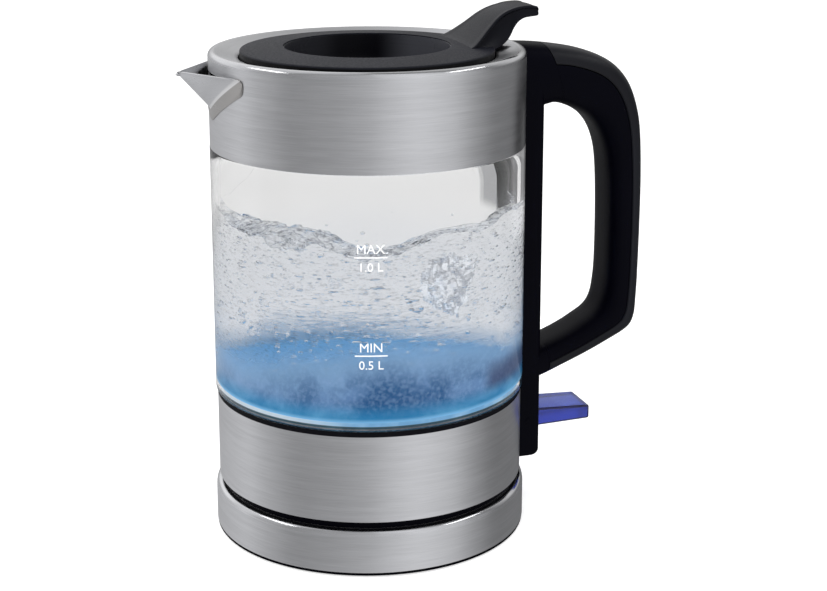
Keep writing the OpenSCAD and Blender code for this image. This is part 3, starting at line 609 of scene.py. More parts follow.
def water():
    """Water body: a polar sheet of waves over a turned side that steps in to the steel cup. The waves climb the glass
    by 1.1 exp((r - reach) / 1.2)."""
    turn = full_turn(256)[:, None]
    reach = GLASS_IN_R + 0.05
    rows = 56
    r = reach * np.arange(1, rows + 1)[None] / rows
    top = polar(r, turn, surface_height(r * np.cos(turn), r * np.sin(turn)) + 1.1 * np.exp((r - reach) / 1.2))
    edge = top[:, -1:, 2]
    step_z, cup_r, low_z = SEAL_TOP + 0.1, CUP_IN_R - 0.1, FLOOR_Z + 0.1
    side = polar(reach, turn, edge + (step_z - edge) * np.linspace(0, 1, 26)[1:][None])
    low = fillet([(reach, step_z), (cup_r, step_z), (cup_r, low_z), (0.5, low_z)], [0, 0.3, 1.0, 0], 4, closed=False)
    low = dense(low[1:], 4, closed=False)
    grid = np.concatenate([top, side, polar(low[:, 0][None], turn, low[:, 1][None])], 1)
    poles = [[0, 0, surface_height(0, 0)], [0, 0, low_z]]
    piece("water", spun(grid, poles), "jug", WATER, sharp=60)


def small_balls(centres, radii, wide, squash, columns=8, rows=3):
    """One mesh of many small balls: centre + radius (cos a cos b along the radius, wide sin a cos b round the turn,
    squash sin b up)."""
    b = np.linspace(-np.pi / 2, np.pi / 2, rows + 2)[1:-1][:, None]
    ring = polar(np.cos(b), full_turn(columns)[None], np.sin(b))
    unit = np.concatenate([ring.reshape(-1, 3), [[0, 0, -1], [0, 0, 1]]])
    turn = np.arctan2(centres[:, 1], centres[:, 0])[:, None]
    along, round_way = polar(1, turn, 0), np.stack([-np.sin(turn), np.cos(turn), 0 * turn], -1)
    wide, scale = wide[:, None, None], radii[:, None, None]
    points = centres[:, None] + scale * (unit[None, :, :1] * along + wide * unit[None, :, 1:2] * round_way)
    points[..., 2] += radii[:, None] * squash * unit[None, :, 2]
    shift = (np.arange(len(centres)) * len(unit))[:, None, None]
    return points, [(f[None] + shift).reshape(-1, f.shape[1]) for f in lofted(ring)[1]]


def bubbles():
    """Bubbles that cling to the glass, drawn out round it, and bubbles that rise from the floor, in two seeded
    clouds."""
    rng = np.random.default_rng(7)
    n = 1700
    turn = np.where(rng.uniform(0, 1, n) < 0.8, rng.uniform(-np.pi, 0, n), rng.uniform(0, np.pi, n))
    z = np.where(np.sin(turn) > 0, 66 + 40 * rng.beta(1.7, 1.2, n), 97 + 43 * rng.beta(1.3, 1.2, n))
    size = rng.gamma(2.4, 0.12, n).clip(0.12, 0.9)
    cling = polar(GLASS_IN_R - 0.35 - size, turn, z)
    wide = rng.uniform(1.0, 3.2, n)
    m = 700
    around = rng.uniform(0, 2 * np.pi, m)
    out = 57 * np.sqrt(rng.uniform(0, 1, m))
    high = np.where(np.sin(around) > 0, 50, 82) * rng.beta(1.0, 1.4, m)
    rise = polar(out, around, 56 + high)
    rise_size = rng.gamma(3.0, 0.17, m).clip(0.2, 1.3)
    for name, centres, sizes, spread, squash in (
            ("wall_bubbles", cling, size, wide, 0.6),
            ("rising_bubbles", rise, rise_size, rng.uniform(1.0, 1.4, m), 0.85)):
        keep = centres[:, 2] + sizes < surface_height(centres[:, 0], centres[:, 1]) - 1
        balls = small_balls(centres[keep], sizes[keep], spread[keep], squash)
        piece(name, balls, "jug", BUBBLE, sharp=80)


def swell():
    """The churned surface along the glass: a ring under the waves whose half height and half width follow sums of
    sines round the turn, with ropes wound along it. It is thickest on the side of -Y and thin on the other."""
    segments, columns = 720, 36
    turn, phi = full_turn(segments)[:, None], full_turn(columns)[None]
    strength = (0.01 + 0.99 * ease(-np.sin(turn + 0.1), -0.1, 0.45)) * (1 - 0.6 * ease(np.cos(turn), -0.12, 0.2))
    strength = strength * (1 + 0.5 * ease(-np.cos(turn), 0.3, 0.9))
    tall = strength * (2.1 + 0.7 * np.sin(5 * turn + 0.6) + 0.5 * np.sin(13 * turn + 2) + 0.25 * np.sin(29 * turn))
    deep = strength * (4.2 + 0.9 * np.sin(7 * turn + 1) + 0.5 * np.sin(17 * turn))
    ropes = (1 + 0.2 * np.sin(3 * phi + 23 * turn) + 0.13 * np.sin(5 * phi - 41 * turn + 1)
             + 0.08 * np.sin(8 * phi + 67 * turn))
    r = np.minimum(GLASS_IN_R - 0.6 - deep * (1 - np.cos(phi) * ropes * 0.86), GLASS_IN_R - 0.5)
    edge = surface_height((GLASS_IN_R - 1) * np.cos(turn), (GLASS_IN_R - 1) * np.sin(turn))
    z = np.minimum(edge - 1.15 * tall + tall * np.sin(phi) * ropes,
                   surface_height(r * np.cos(turn), r * np.sin(turn)) - 0.15)
    ring = polar(r, turn, z), [loop_faces(segments, columns, True, True)]
    piece("surface_swell", ring, "jug", SWELL, sharp=80)


# Degrees to the right of the view's line, degrees up, gain and width of each bell on the plume
PLUME_BELLS = ((4, 38, 0.7, 0.035), (24, 12, 0.2, 0.02), (150, 30, -0.3, 0.06), (-20, -12, -0.32, 0.05),
               (172, -24, 0.22, 0.03), (70, 66, 0.25, 0.03), (60, -70, 0.3, 0.05))


def plume():
    """A churning pocket of steam: a ball of radius 9.5 (1 + sum of products of sines + sum of bells), each bell raised
    or sunk round one direction as gain exp(-(1 - cosine of the angle to it) / width)."""
    b = np.linspace(-np.pi / 2, np.pi / 2, 74)[1:-1][:, None]
    a = full_turn(144)[None]
    way = polar(np.cos(b), a, np.sin(b))
    lumps = np.cos(b) ** 0.5 * (
        0.10 * np.sin(3 * a + 1) * np.cos(2 * b + 0.4) + 0.12 * np.sin(5 * a + 2.2 + 2 * b) * np.cos(4 * b)
        + 0.10 * np.sin(9 * a - 3 * b) * np.cos(7 * b + 1) + 0.04 * np.sin(15 * a + 6 * b) * np.sin(11 * b + 0.5))
    for side, up, gain, width in PLUME_BELLS:
        turn, rise = math.radians(VIEW_AZIMUTH + 90 - side), math.radians(up)
        lumps = lumps + gain * np.exp((way @ polar(math.cos(rise), turn, math.sin(rise)) - 1) / width)
    middle = polar(46, math.radians(VIEW_AZIMUTH + 41), 116)
    points = middle + 9.5 * (1 + lumps)[..., None] * way * np.array([1, 1, 1.12])
    piece("plume", lofted(points), "jug", STEAM, sharp=80)


def wrapped(across, up, triangles):
    """A thin raised sheet on the glass, x becoming the angle x / R: an outer and an inner skin, joined along the open
    edges."""
    angle = math.radians(SCALE_AZIMUTH) + across / GLASS_R
    skins = [polar(GLASS_R + proud, angle, up) for proud in (0.06, 0.01)]
    edges = np.concatenate([triangles[:, [0, 1]], triangles[:, [1, 2]], triangles[:, [2, 0]]])
    _, where, counts = np.unique(np.sort(edges, 1), axis=0, return_index=True, return_counts=True)
    rim = edges[where[counts == 1]]
    n = len(across)
    wall = np.stack([rim[:, 1], rim[:, 0], rim[:, 0] + n, rim[:, 1] + n], -1)
    return np.concatenate(skins), [triangles, triangles[:, ::-1] + n, wall]


def printed(text, height, low_z):
    """Letters made flat, then wrapped on the glass."""
    curve = bpy.data.curves.new(text, "FONT")
    curve.body, curve.align_x, curve.size, curve.resolution_u = text, "CENTER", 1.0, 3
    source = bpy.data.objects.new(text + "_source", curve)
    bpy.context.scene.collection.objects.link(source)
    bpy.context.view_layer.update()
    flat = bpy.data.meshes.new_from_object(source)
    bpy.data.objects.remove(source)
    co = np.zeros(len(flat.vertices) * 3)
    flat.vertices.foreach_get("co", co)
    flat.calc_loop_triangles()
    corners = np.zeros(len(flat.loop_triangles) * 3, int)
    flat.loop_triangles.foreach_get("vertices", corners)
    x, y, _ = co.reshape(-1, 3).T
    scale = height / (y.max() - y.min())
    return wrapped(x * scale, (y - y.min()) * scale + low_z, corners.reshape(-1, 3))


def litre_marks():
    """The generic filling scale: two lines with a word above and litres below, joined into one mesh."""
    x = np.tile(np.linspace(-6.5, 6.5, 14), 2)
    quads = loop_faces(2, 14, False, False)
    strip = np.concatenate([quads[:, [0, 1, 2]], quads[:, [0, 2, 3]]])
    points, faces = [], []
    for line_z, word, litres in ((MAX_Z, "MAX", "1.0 L"), (MIN_Z, "MIN", "0.5 L")):
        line = wrapped(x, np.repeat([line_z - 0.25, line_z + 0.25], 14), strip)
        for part, sides in (printed(word, 3.6, line_z + 1.6), printed(litres, 3.5, line_z - 5.6), line):
            faces += [side + sum(map(len, points)) for side in sides]
            points.append(part)
    piece("litre_marks", (np.concatenate(points), faces), "jug", PRINT)


# ---- Lid ----

def inset(outline, depth):
    """The outline moved inwards along its own normals, each the mean of the normals of the two sides that meet
    there."""
    p = np.asarray(outline, float)
    side = np.roll(p, -1, 0) - p
    normal = np.stack([-side[:, 1], side[:, 0]], -1) / np.linalg.norm(side, axis=1, keepdims=True)
    mean = normal + np.roll(normal, 1, 0)
    area = (p[:, 0] * np.roll(p[:, 1], -1) - np.roll(p[:, 0], -1) * p[:, 1]).sum()
    mean *= np.sign(area) * 2 / np.maximum((mean ** 2).sum(1, keepdims=True), 1.0)
    return p + mean * depth


def slab(outline, half, bevel, steps=4):
    """A plate across Y with an outline in x and z. Towards each face y nears half by bevel sin a while the outline
    shrinks by bevel (1 - cos a), which rounds the rim."""
    a = np.linspace(np.pi / 2, 0, steps)
    y = half - bevel + bevel * np.sin(a)
    shrink = bevel * (1 - np.cos(a))
    rows = np.concatenate([np.stack([-y, shrink], -1), np.stack([y, shrink], -1)[::-1]])
    return lofted([np.insert(inset(outline, d), 1, place, axis=1) for place, d in rows])


def lid_cover():
    """The lid's ring: a flat dome with a rounded edge and a soft lip round the dish, and the hinge lug under its
    rear."""
    hole, inner = DISH_R + 0.45, 50.8
    outline = fillet([(inner, LID_Z), (LID_R, LID_Z), (LID_R, LID_EDGE_Z + 0.3), (hole, DOME_Z + 0.05), (hole, 205.2),
                      (inner, 204.0)], [0.2, 0.4, 0.9, 0.3, 0.2, 0.2], 6)
    ring = turned(dense(outline, 2.5), 224)
    piece("lid_cover", ring, "lid", LID_BLACK, ["lid_top"], sharp=50)
    a = np.radians(np.linspace(-90, 130, 14))
    barrel = np.stack([HINGE_X + LUG_R * np.cos(a), HINGE_Z + LUG_R * np.sin(a)], -1)
    lug = np.concatenate([[(51.0, LID_Z)], barrel, [(54.0, 205.5), (51.0, 206.0)]])
    piece("lid_lug", slab(lug, LUG_HALF, 0.4), "lid", LID_BLACK)


# x, top height, underside height, half width of the top, how far the foot flares past it
THUMB = np.array([
    [36.6, 206.4, 204.7, 21.5, 0.3], [38.6, 207.0, 204.7, 20.8, 0.5], [41.0, 208.1, 204.7, 19.6, 0.9],
    [44.0, 210.3, 204.7, 17.6, 1.6], [48.0, 213.6, 204.7, 15.0, 2.2], [52.0, 217.0, 205.1, 13.0, 2.0],
    [55.0, 219.0, 206.2, 11.8, 1.4], [57.5, 220.2, 207.6, 11.0, 0.9], [59.5, 220.9, 209.6, 10.5, 0.5],
    [61.3, 221.4, 212.9, 10.2, 0.2], [63.4, 221.9, 215.5, 10.1, 0.0], [66.0, 222.2, 217.0, 10.0, 0.0],
    [69.0, 222.3, 217.5, 10.0, 0.0], [71.2, 222.0, 217.7, 10.0, 0.0], [72.3, 221.5, 218.0, 9.7, 0.0],
    [72.7, 220.7, 218.8, 9.0, 0.0]])


def thumb_lever():
    """The thumb lever: sections across Y carried along x. Each side steps in under the top's edge and is hollow below
    it: half width - recess + flare s^3, s running down it; the top is crowned by 0.3 (y / half)^2."""
    x, top, low, half, flare = through(THUMB, 5).T[..., None]
    s = np.linspace(0, 1, 21)[None]
    t = np.linspace(-1, 1, 15)[1:-1][None]
    bend = np.radians(np.linspace(0, 90, 5))[None]
    shoulder = np.minimum(0.9, (top - low) * 0.3)
    recess = np.minimum(1.7, (top - low).clip(0) * 0.16)
    side_y = half + flare * s ** 3 - recess * ease(s, 0.02, 0.09) * (1 - 0.85 * ease(s, 0.35, 1))
    side_z = top - shoulder + (low - top + shoulder) * s
    edge_y = half - shoulder + shoulder * np.cos(bend)
    edge_z = top - shoulder + shoulder * np.sin(bend)
    crown_y = (half - shoulder) * t
    crown_z = top - 0.3 * t ** 2
    right_y, right_z = (np.concatenate([side[:, ::-1], edge[:, 1:]], 1)
                        for side, edge in ((side_y, edge_y), (side_z, edge_z)))
    right_y[:, :1] -= np.minimum(0.8, (top - low) * 0.25)
    under_y = right_y[:, :1] * np.linspace(-1, 1, 7)[None, 1:-1]
    y = np.concatenate([under_y, right_y, crown_y[:, ::-1], -right_y[:, ::-1]], 1)
    z = np.concatenate([low + 0 * under_y, right_z, crown_z[:, ::-1], right_z[:, ::-1]], 1)
    piece("thumb_lever", lofted(np.stack([x + 0 * y, y, z], -1)), "lid", LEVER_BLACK, sharp=40)


def dish_cup():
    """The glossy dish pressed into the lid: a turned cup with a drafted wall and a rounded floor corner."""
    low, wall, lip_z = DISH_FLOOR_Z - 1.6, DISH_R + 1.2, 205.1
    outline = fillet([(0, low), (wall, low), (wall, lip_z), (DISH_R + 0.4, lip_z), (DISH_R + 0.4, DOME_Z - 0.5),
                      (DISH_R + 0.1, DOME_Z - 0.5), (DISH_R - 1.6, DISH_FLOOR_Z), (0, DISH_FLOOR_Z)],
                     [0, 1.5, 0.2, 0.1, 0.1, 0.1, 4.5, 0], 7, closed=False)
    piece("dish_cup", turned(dense(outline, 1.5, closed=False), closed=False), "lid", GLOSS,
          ["lid_dish"])


# ---- Spout ----

def folded_spout():
    """Sheet steel folded to a V, with a flange on the collar. Across the fold p runs from one corner to the other. The
    face is tip + (B(p) - tip) t, where B follows the V on the collar; the flange runs from B to B + w n, n being the
    V's outward normal along the collar. The crease between them is rounded by a quadratic curve, and the inner skin
    lies a wall inside."""
    p = np.linspace(-1, 1, 121)
    bend = np.sqrt(p ** 2 + 0.006) - np.sqrt(0.006)
    bend /= bend.max()
    round_way = COLLAR_R * np.radians(SPOUT_ANGLE) * np.sign(p) * bend
    up = SPOUT_KEEL_Z + (SPOUT_TOP_Z - SPOUT_KEEL_Z) * bend
    lean = 0.49 * np.tanh(14 * p)
    normal = np.stack([np.sin(lean), -np.cos(lean)], -1)
    corner = ((np.abs(p) - 0.9) / 0.101).clip(0, 1)
    width = (4.9 + 0.6 * np.abs(p)) * np.sqrt(np.clip(1 - corner ** 2, 0, 1)) + 0.15

    def on_collar(away, proud):
        turn = np.pi - (round_way + normal[:, 0] * away) / COLLAR_R
        return polar(COLLAR_R + proud, turn, up + normal[:, 1] * away)[:, None]

    tip = np.stack([-SPOUT_REACH + 0.75 + 0 * p, -0.35 * p, SPOUT_TIP_Z - 0.35 - 0.5 * (1 - bend)], -1)[:, None]
    crease = on_collar(0, 0.6)
    length = np.linalg.norm(crease - tip, axis=-1, keepdims=True)
    t = np.linspace(0, 1, 30)[None, :, None] ** 0.85 * (1 - 1.5 / length)
    face = tip + (crease - tip) * t
    curl = np.linspace(0, 1, 9)[None, 1:, None]
    fold = (1 - curl) ** 2 * face[:, -1:] + 2 * curl * (1 - curl) * crease + curl ** 2 * on_collar(1.0, 0.55)
    flange = np.concatenate([on_collar(1.0 + (width - 1.0).clip(0.02) * k, 0.55 - 0.35 * ease(k, 0.75, 1))
                             for k in np.linspace(0, 1, 9)[1:]], 1)
    outer = np.concatenate([face, fold, flange], 1)
    out = np.cross(np.gradient(outer, axis=1), np.gradient(outer, axis=0))
    out /= np.linalg.norm(out, axis=-1, keepdims=True) + 1e-9
    out *= -np.sign(out[60, 12, 2])
    wall = np.concatenate([np.full(face.shape[1], 0.8), np.linspace(0.8, 0.6, 8), np.linspace(0.6, 0.5, 8)])
    inner = outer - out * wall[None, :, None]
    rows, columns = outer.shape[:2]
    quads = loop_faces(rows, columns, False, False)
    n = rows * columns
    ring = np.concatenate([np.arange(columns), np.arange(1, rows) * columns + columns - 1,
                           (rows - 1) * columns + np.arange(columns - 2, -1, -1), np.arange(rows - 2, 0, -1) * columns])
    after = np.roll(ring, -1)
    rim = np.stack([ring, after, after + n, ring + n], -1)
    points = np.concatenate([outer.reshape(-1, 3), inner.reshape(-1, 3)])
    piece("folded_spout", (points, [quads[:, ::-1], quads + n, rim]), "jug", SPOUT_STEEL, ["spout"],
          sharp=45)


def collar_shell():
    """The steel collar: a turned sheet with a round edge and a rim that slopes down to the lid. Over the hinge's ears
    the rim is raised by 1.15 exp(-((x - 56.4) / 3)^2), faded out past them. A V opening and a slot for the lid's lug
    are cut out."""
    lean = math.radians(90 + RIM_SLOPE)
    slope = math.tan(math.radians(RIM_SLOPE))
    centre = np.array([COLLAR_R - RIM_ROUND, RIM_Z - RIM_ROUND])
    crest = centre + RIM_ROUND * np.array([math.cos(lean), math.sin(lean)])
    lip_z = crest[1] - (crest[0] - LIP_R) * slope
    over, under = np.linspace(0, lean, 14), np.linspace(lean, 0, 10)
    outline = np.concatenate([
        [[COLLAR_R - COLLAR_WALL, GLASS_TOP], [COLLAR_R, GLASS_TOP]],
        centre + RIM_ROUND * np.stack([np.cos(over), np.sin(over)], -1),
        [[LIP_R + 0.3, lip_z + 0.05], [LIP_R, lip_z - 0.3], [LIP_R, LIP_LOW_Z], [LIP_R + COLLAR_WALL, LIP_LOW_Z],
         [LIP_R + COLLAR_WALL, lip_z - COLLAR_WALL / math.cos(lean - math.pi / 2) + COLLAR_WALL * slope]],
        centre + (RIM_ROUND - COLLAR_WALL) * np.stack([np.cos(under), np.sin(under)], -1)])
    points, faces = turned(dense(outline, 1.6), 288)
    x, y, z = np.moveaxis(points, -1, 0)
    points[..., 2] += (1.15 * np.exp(-((x - 56.4) / 3) ** 2) * (1 - ease(np.abs(y), 9.4, 11.6)) * (x > 0)
                       * (np.hypot(x, y) < 63) * ease(z, LIP_LOW_Z, 203))
    half = COLLAR_R * math.sin(math.radians(SPOUT_ANGLE)) - 2.5
    spout_v = np.array([(-half, 199), (-0.1, 186.4), (0.1, 186.4), (half, 199)])
    slot = np.array([(50, 198), (56.5, 198), (56.5, 210), (50, 210)], float)
    mesh = without(mesh_of("collar_shell", points, faces, 40),
                   spout_opening=lofted([np.insert(spout_v, 0, place, axis=1) for place in (-70.0, -50.0)]),
                   lug_slot=lofted([np.insert(slot, 1, side * (LUG_HALF + 0.25), axis=1) for side in (-1, 1)]))
    piece("collar_shell", mesh, "jug", COLLAR_STEEL, ["collar"])


# ---- Base ----

def base_shell():
    """The base's steel shell: a ring with a rounded shoulder, a small radius at its lower edge and a hole for the
    cord."""
    inner_r, inner_z, low_z = BASE_R - BASE_WALL, BASE_H - BASE_WALL, 1.5
    outline = [(BASE_R, low_z), (BASE_R, BASE_H), (BASE_LIP_R, BASE_H), (BASE_LIP_R, inner_z), (inner_r, inner_z),
               (inner_r, low_z)]
    shell = turned(dense(fillet(outline, [0.3, 3.4, 0.2, 0.1, 2.6, 0.1], 12), 3), 256)
    turn = full_turn(48)
    hole = lofted([np.stack([CORD_HOLE_R * np.cos(turn), y + 0 * turn, CORD_Z + CORD_HOLE_R * np.sin(turn)], -1)
                   for y in (60.0, 72.0)])
    piece("base_shell", without(mesh_of("base_shell", *shell, 50), cord_hole=hole), "base", BASE_STEEL,
          ["base_ring"])


# ---- Handle ----

# Inner x and z, outer x and z, and the share of the depth inside the cover's seam, from the collar to the strap's foot
GRIP = np.array([
    [63.0, 175.0, 63.0, 206.1, 0.68], [74.0, 177.6, 74.0, 205.4, 0.69], [81.7, 179.4, 84.5, 204.0, 0.70],
    [89.0, 177.4, 94.4, 202.0, 0.70], [95.5, 173.9, 103.5, 198.8, 0.70], [99.8, 169.8, 110.8, 194.2, 0.68],
    [102.9, 164.8, 116.5, 187.3, 0.65], [105.2, 158.6, 120.3, 177.8, 0.62], [106.6, 151.1, 122.4, 166.5, 0.60],
    [107.5, 138.0, 123.4, 147.0, 0.60], [107.9, 121.2, 123.45, 124.0, 0.60], [107.8, 104.4, 123.1, 102.0, 0.60],
    [107.1, 95.2, 122.7, 90.0, 0.60], [105.6, 88.3, 121.9, 80.9, 0.60], [102.4, 83.6, 118.6, 75.4, 0.58],
    [96.6, 79.8, 108.0, 69.9, 0.56], [91.6, 77.0, 98.0, 65.4, 0.56], [84.7, 74.0, 87.0, 61.0, 0.56],
    [76.0, 70.6, 76.6, 57.0, 0.56], [71.0, 69.0, 71.0, 55.6, 0.56]])
PER_SPAN = 12
GRIP_PATH = through(GRIP, PER_SPAN)
COVER_FROM, COVER_TO = 5 / 3, 53 / 3


def grip_value(t, column):
    return np.interp(t * PER_SPAN, np.arange(len(GRIP_PATH)), GRIP_PATH[:, column])


def grip_at(t, depth, side):
    """Point of the grip at station t, a share of the depth from the inner face, and a share of the half width
    across."""
    inner_x, inner_z, outer_x, outer_z = (grip_value(t, column) for column in range(4))
    return np.stack([inner_x + (outer_x - inner_x) * depth, HANDLE_HALF * side,
                     inner_z + (outer_z - inner_z) * depth], -1)


def seam_share(t):
    """Share of the depth at which the cover's seam lies at station t."""
    return float(grip_value(t, 4))


def rounded_section(share, count=17, nick=0.022):
    """Part of a superellipse from its inner pole to a share of its depth, closed by a chord with nicked corners:
    depth = (1 - cos^q a) / 2 and side = sin^q a, with q = 2 / power. Shares of depth and of half width."""
    q = 2 / GRIP_POWER
    c = 1 - 2 * min(share, 1.0)
    last = math.acos(math.copysign(abs(c) ** (1 / q), c))
    a = np.linspace(-last, last, 2 * count + 1)
    depth = 0.5 * (1 - np.sign(np.cos(a)) * np.abs(np.cos(a)) ** q)
    side = np.sign(a) * np.abs(np.sin(a)) ** q
    if share < 0.999:
        depth[[0, -1]] -= nick
        chord_depth, chord = share, np.linspace(side[-1] - nick, side[0] + nick, 12)
    else:
        chord_depth, chord = depth[0], np.linspace(side[-1], side[0], 14)[1:-1]
    return np.concatenate([depth, np.full(12, chord_depth)]), np.concatenate([side, chord])


def slanted(t, depth):
    """Station t over the depth: near the cover's upper end, which is cut aslant, it moves on by
    1.15 (0.64 - depth) stations."""
    return t - 1.15 * (depth - 0.64) * (1 - ease(abs(t - COVER_FROM), 0.4, 1.2))


def handle_grip():
    """Inner part of the grip. Its section is whole where the cover ends, and is cut along the seam between."""
    last = len(GRIP) - 1
    rings = []
    for t in np.concatenate([np.linspace(0, COVER_FROM, 8), np.linspace(COVER_FROM + 0.01, COVER_TO - 0.01, 130),
                             np.linspace(COVER_TO, last, 8)]):
        depth, side = rounded_section(seam_share(t) - 0.008 if COVER_FROM < t < COVER_TO else 1.0)
        rings.append(grip_at(np.clip(slanted(t, depth), 0, last), depth, side))
    piece("handle_grip", lofted(rings), "jug", BLACK, sharp=40)


def handle_cap():
    """Outer cover of the grip, let in between the two whole ends, a hair's breadth clear of the inner part."""
    rings = []
    for t in np.linspace(COVER_FROM + 0.035, COVER_TO - 0.035, 136):
        depth, side = rounded_section(1 - seam_share(t) - 0.008)
        rings.append(grip_at(slanted(t, 1 - depth), 1 - depth, -side))
    piece("handle_cap", lofted(rings), "jug", CAP_BLACK, ["handle_cover"], sharp=40)


def handle_web():
    """A plate along the middle of the grip, within the inner part and the cover, which closes the seam between
    them."""
    side = np.array([-0.3, -0.3, 0.3, 0.3])
    rings = []
    for t in np.linspace(COVER_FROM - 0.8, COVER_TO + 0.4, 120):
        low, high = seam_share(t) - 0.12, 0.95
        rings.append(grip_at(t + 0 * side, np.array([low, high, high, low]), side))
    piece("handle_web", lofted(rings), "jug", BLACK, sharp=40)


def handle_strap():
    """The strap on the body: a section with a hollow back on the glass and rounded outer edges, carried up Z. Its
    lower outer corner turns in by r - sqrt(r^2 - u^2). A window takes the switch lever."""
    foot, back_x = 2.4, 66.6
    bend = np.linspace(0, np.pi / 2, 9)
    z = np.concatenate([STRAP_Z + foot * (1 - np.cos(bend)), np.linspace(28, STRAP_TOP, 42)])
    u = np.clip(STRAP_Z + foot - z, 0, foot)
    hollow = polar(66.3, np.radians(np.linspace(10.7, -10.7, 13)), 0)[:, :2]
    rings = []
    for height, x in zip(z, STRAP_X - foot + np.sqrt(foot ** 2 - u ** 2)):
        front = fillet([(back_x, -HANDLE_HALF), (x, -HANDLE_HALF), (x, HANDLE_HALF), (back_x, HANDLE_HALF)],
                       [0.1, 3.0, 3.0, 0.1], 7, closed=False)
        rings.append(np.insert(np.concatenate([front, hollow]), 2, height, axis=1))
    window = fillet([(70.0, 34.2), (80.0, 34.2), (80.0, 44.4), (70.0, 44.4)], 0.6, 3)
    mesh = without(mesh_of("handle_strap", *lofted(rings)), window=slab(window, LEVER_HALF + 0.3, 0.3))
    piece("handle_strap", mesh, "jug", BLACK, ["handle_body"])


def switch_paddle():
    """The rocking lever: a tapered plate with every edge rounded."""
    outline = fillet([(LEVER_FROM, 34.0), (STRAP_X, 34.3), (LEVER_REACH, 35.0), (LEVER_REACH, 41.2), (STRAP_X, 42.3),
                      (LEVER_FROM, 42.0)], 1)
    piece("switch_paddle", slab(dense(outline, 3), LEVER_HALF, 0.8, 5), "switch", BLUE,
          ["switch_lever"], sharp=30)


for build in (glass_wall, water, bubbles, swell, plume, litre_marks, lid_cover, thumb_lever, dish_cup, folded_spout,
              collar_shell, base_shell, handle_grip, handle_cap, handle_web, handle_strap, switch_paddle):
    build()


# ---- Studio ----

# Degrees from the camera's own direction round the room, to the right, and how bright the panel there is
PANELS = [(-180, 0.36), (-150, 0.58), (-122, 0.72), (-104, 0.86), (-80, 0.58), (-58, 0.40), (-30, 0.49), (0, 0.62),
          (14, 0.82), (36, 1.02), (62, 0.86), (84, 0.46), (104, 0.24), (130, 0.24), (150, 0.22), (172, 0.10)]
# How much brighter the room is beyond the object and above the horizon, and how bright is the light that falls on it
SKY, EVEN = 0.55, 0.62


def world_light():
    """A white room. Cameras and glass see plain white. Metal sees soft light and dark panels round the room. Surfaces
    are lit by an even pale grey."""
    bpy.context.scene.world = bpy.data.worlds.new("studio")
    w = Nodes(bpy.context.scene.world, "Generated")

    def background(strength, colour=(1, 1, 1)):
        return w.node("ShaderNodeBackground", {}, [colour, strength])

    def ray(kind):
        return w.node("ShaderNodeLightPath", out=f"Is {kind} Ray")

    turned_to_view = w.y.math("ARCTAN2", w.x) + (math.radians(180 - VIEW_AZIMUTH) - 2 * math.pi)
    stops = [((degrees + 180) / 360, (level * 0.985, level * 0.99, level * 1.01)) for degrees, level in PANELS]
    panels = w.node("ShaderNodeValToRGB", {"stops": stops}, [(turned_to_view / (2 * math.pi)).math("WRAP", 1.0, 0.0)])
    ahead = [-math.cos(math.radians(VIEW_AZIMUTH)), -math.sin(math.radians(VIEW_AZIMUTH)), 0]
    far = w.node("ShaderNodeVectorMath", {"operation": "DOT_PRODUCT"}, [w.at, ahead], 1)
    sky = far.step(0.1, 0.8) * w.z.step(0.0, 0.3, 0.0, SKY)
    shiny = w.node("ShaderNodeAddShader", {}, [background(1.0, panels), background(sky)])
    seen = ray("Camera").math("MAXIMUM", ray("Transmission"))
    w.close("ShaderNodeOutputWorld", w.mixed(seen, w.mixed(ray("Glossy"), background(EVEN), shiny), background(1.0)))


def lamp(name, place, aim_z, wide, tall, power, mirrored):
    """A soft box: an area lamp at a place, turned to a height on the axis. Metal mirrors only some of them."""
    data = bpy.data.lights.new(name, "AREA")
    data.shape, data.size, data.size_y, data.energy = "RECTANGLE", wide, tall, power
    made = bpy.data.objects.new(name, data)
    made.location = place
    made.rotation_euler = (Vector((0, 0, aim_z)) - Vector(place)).to_track_quat("-Z", "Y").to_euler()
    made.visible_camera = made.visible_transmission = False
    made.visible_glossy = mirrored
    bpy.context.scene.collection.objects.link(made)


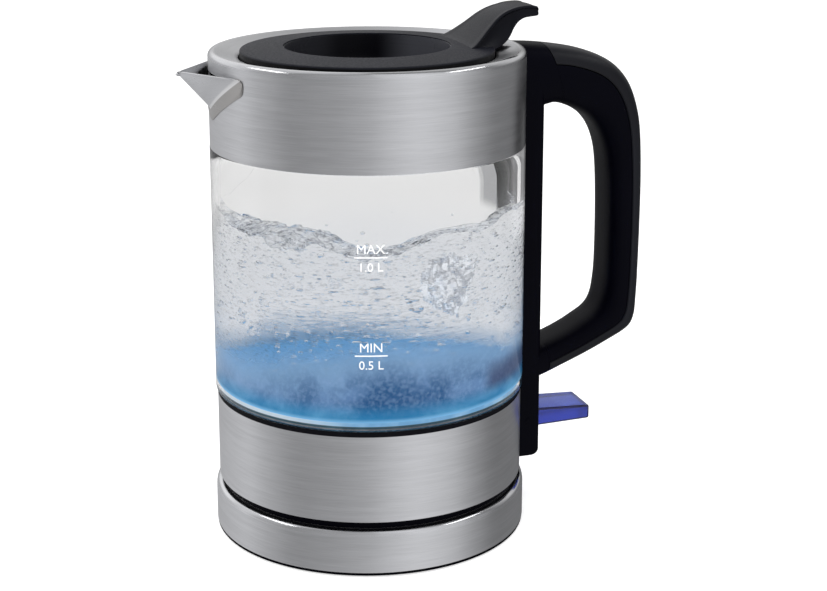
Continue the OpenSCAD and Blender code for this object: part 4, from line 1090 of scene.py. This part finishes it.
def floor():
    """A pale floor just under the object, which a camera sees as white and which keeps the object's soft shadow. It
    doesn't show from below."""
    f = Finish("studio_floor")
    pale = f.node("ShaderNodeBsdfDiffuse", {}, [(0.8, 0.8, 0.8)])
    lit = f.node("ShaderNodeAddShader", {}, [pale, f.node("ShaderNodeEmission", {}, [(1.0, 1.0, 1.0), EVEN])])
    above = f.mixed(f.node("ShaderNodeLightPath", out="Is Camera Ray"), pale, lit)
    below = f.node("ShaderNodeNewGeometry", out="Backfacing")
    f.output(f.mixed(below, above, f.node("ShaderNodeBsdfTransparent")))
    side, low = 6.0, -0.0003
    mesh = bpy.data.meshes.new("studio_floor")
    mesh.from_pydata([(-side, -side, low), (side, -side, low), (side, side, low), (-side, side, low)], [],
                     [(0, 1, 2, 3)])
    mesh.materials.append(f.made)
    made = bpy.data.objects.new("studio_floor", mesh)
    bpy.context.scene.collection.objects.link(made)
    made.visible_glossy = False


def camera():
    """The camera's place, aim and lens, from its azimuth, distance, height, yaw and pitch; pixels is the lens's length
    for a picture that is 827 wide."""
    distance, height, pixels, wide, sensor = 722.0, 314.92, 1751.0, 827, 36.0
    a, y, p = (math.radians(v) for v in (-16.65, -1.52, 13.68))
    data = bpy.data.cameras.new("camera")
    data.sensor_width, data.lens, data.shift_y = sensor, pixels / wide * sensor, -0.11
    data.clip_start, data.clip_end = 0.01, 50
    made = bpy.data.objects.new("camera", data)
    made.location = (math.sin(a) * distance * MM, -math.cos(a) * distance * MM, height * MM)
    ahead = Vector((-math.sin(a + y) * math.cos(p), math.cos(a + y) * math.cos(p), -math.sin(p)))
    made.rotation_mode = "QUATERNION"
    made.rotation_quaternion = ahead.to_track_quat("-Z", "Y")
    bpy.context.scene.collection.objects.link(made)
    bpy.context.scene.camera = made


world_light()
floor()
lamp("softbox_left", (-0.743, 0.236, 0.9), 0.12, 0.6, 0.16, 1.1, True)
lamp("softbox_right", (0.751, -0.21, 0.9), 0.12, 0.6, 0.16, 1.1, True)
lamp("softbox_front", (-0.9, -0.9, 1.1), 0.12, 0.8, 0.8, 5, False)
lamp("softbox_top", (0.0, 0.2, 1.5), 0.1, 1.0, 1.0, 6, False)
camera()
bpy.context.scene.view_settings.view_transform = "Standard"

bpy.context.view_layer.update()
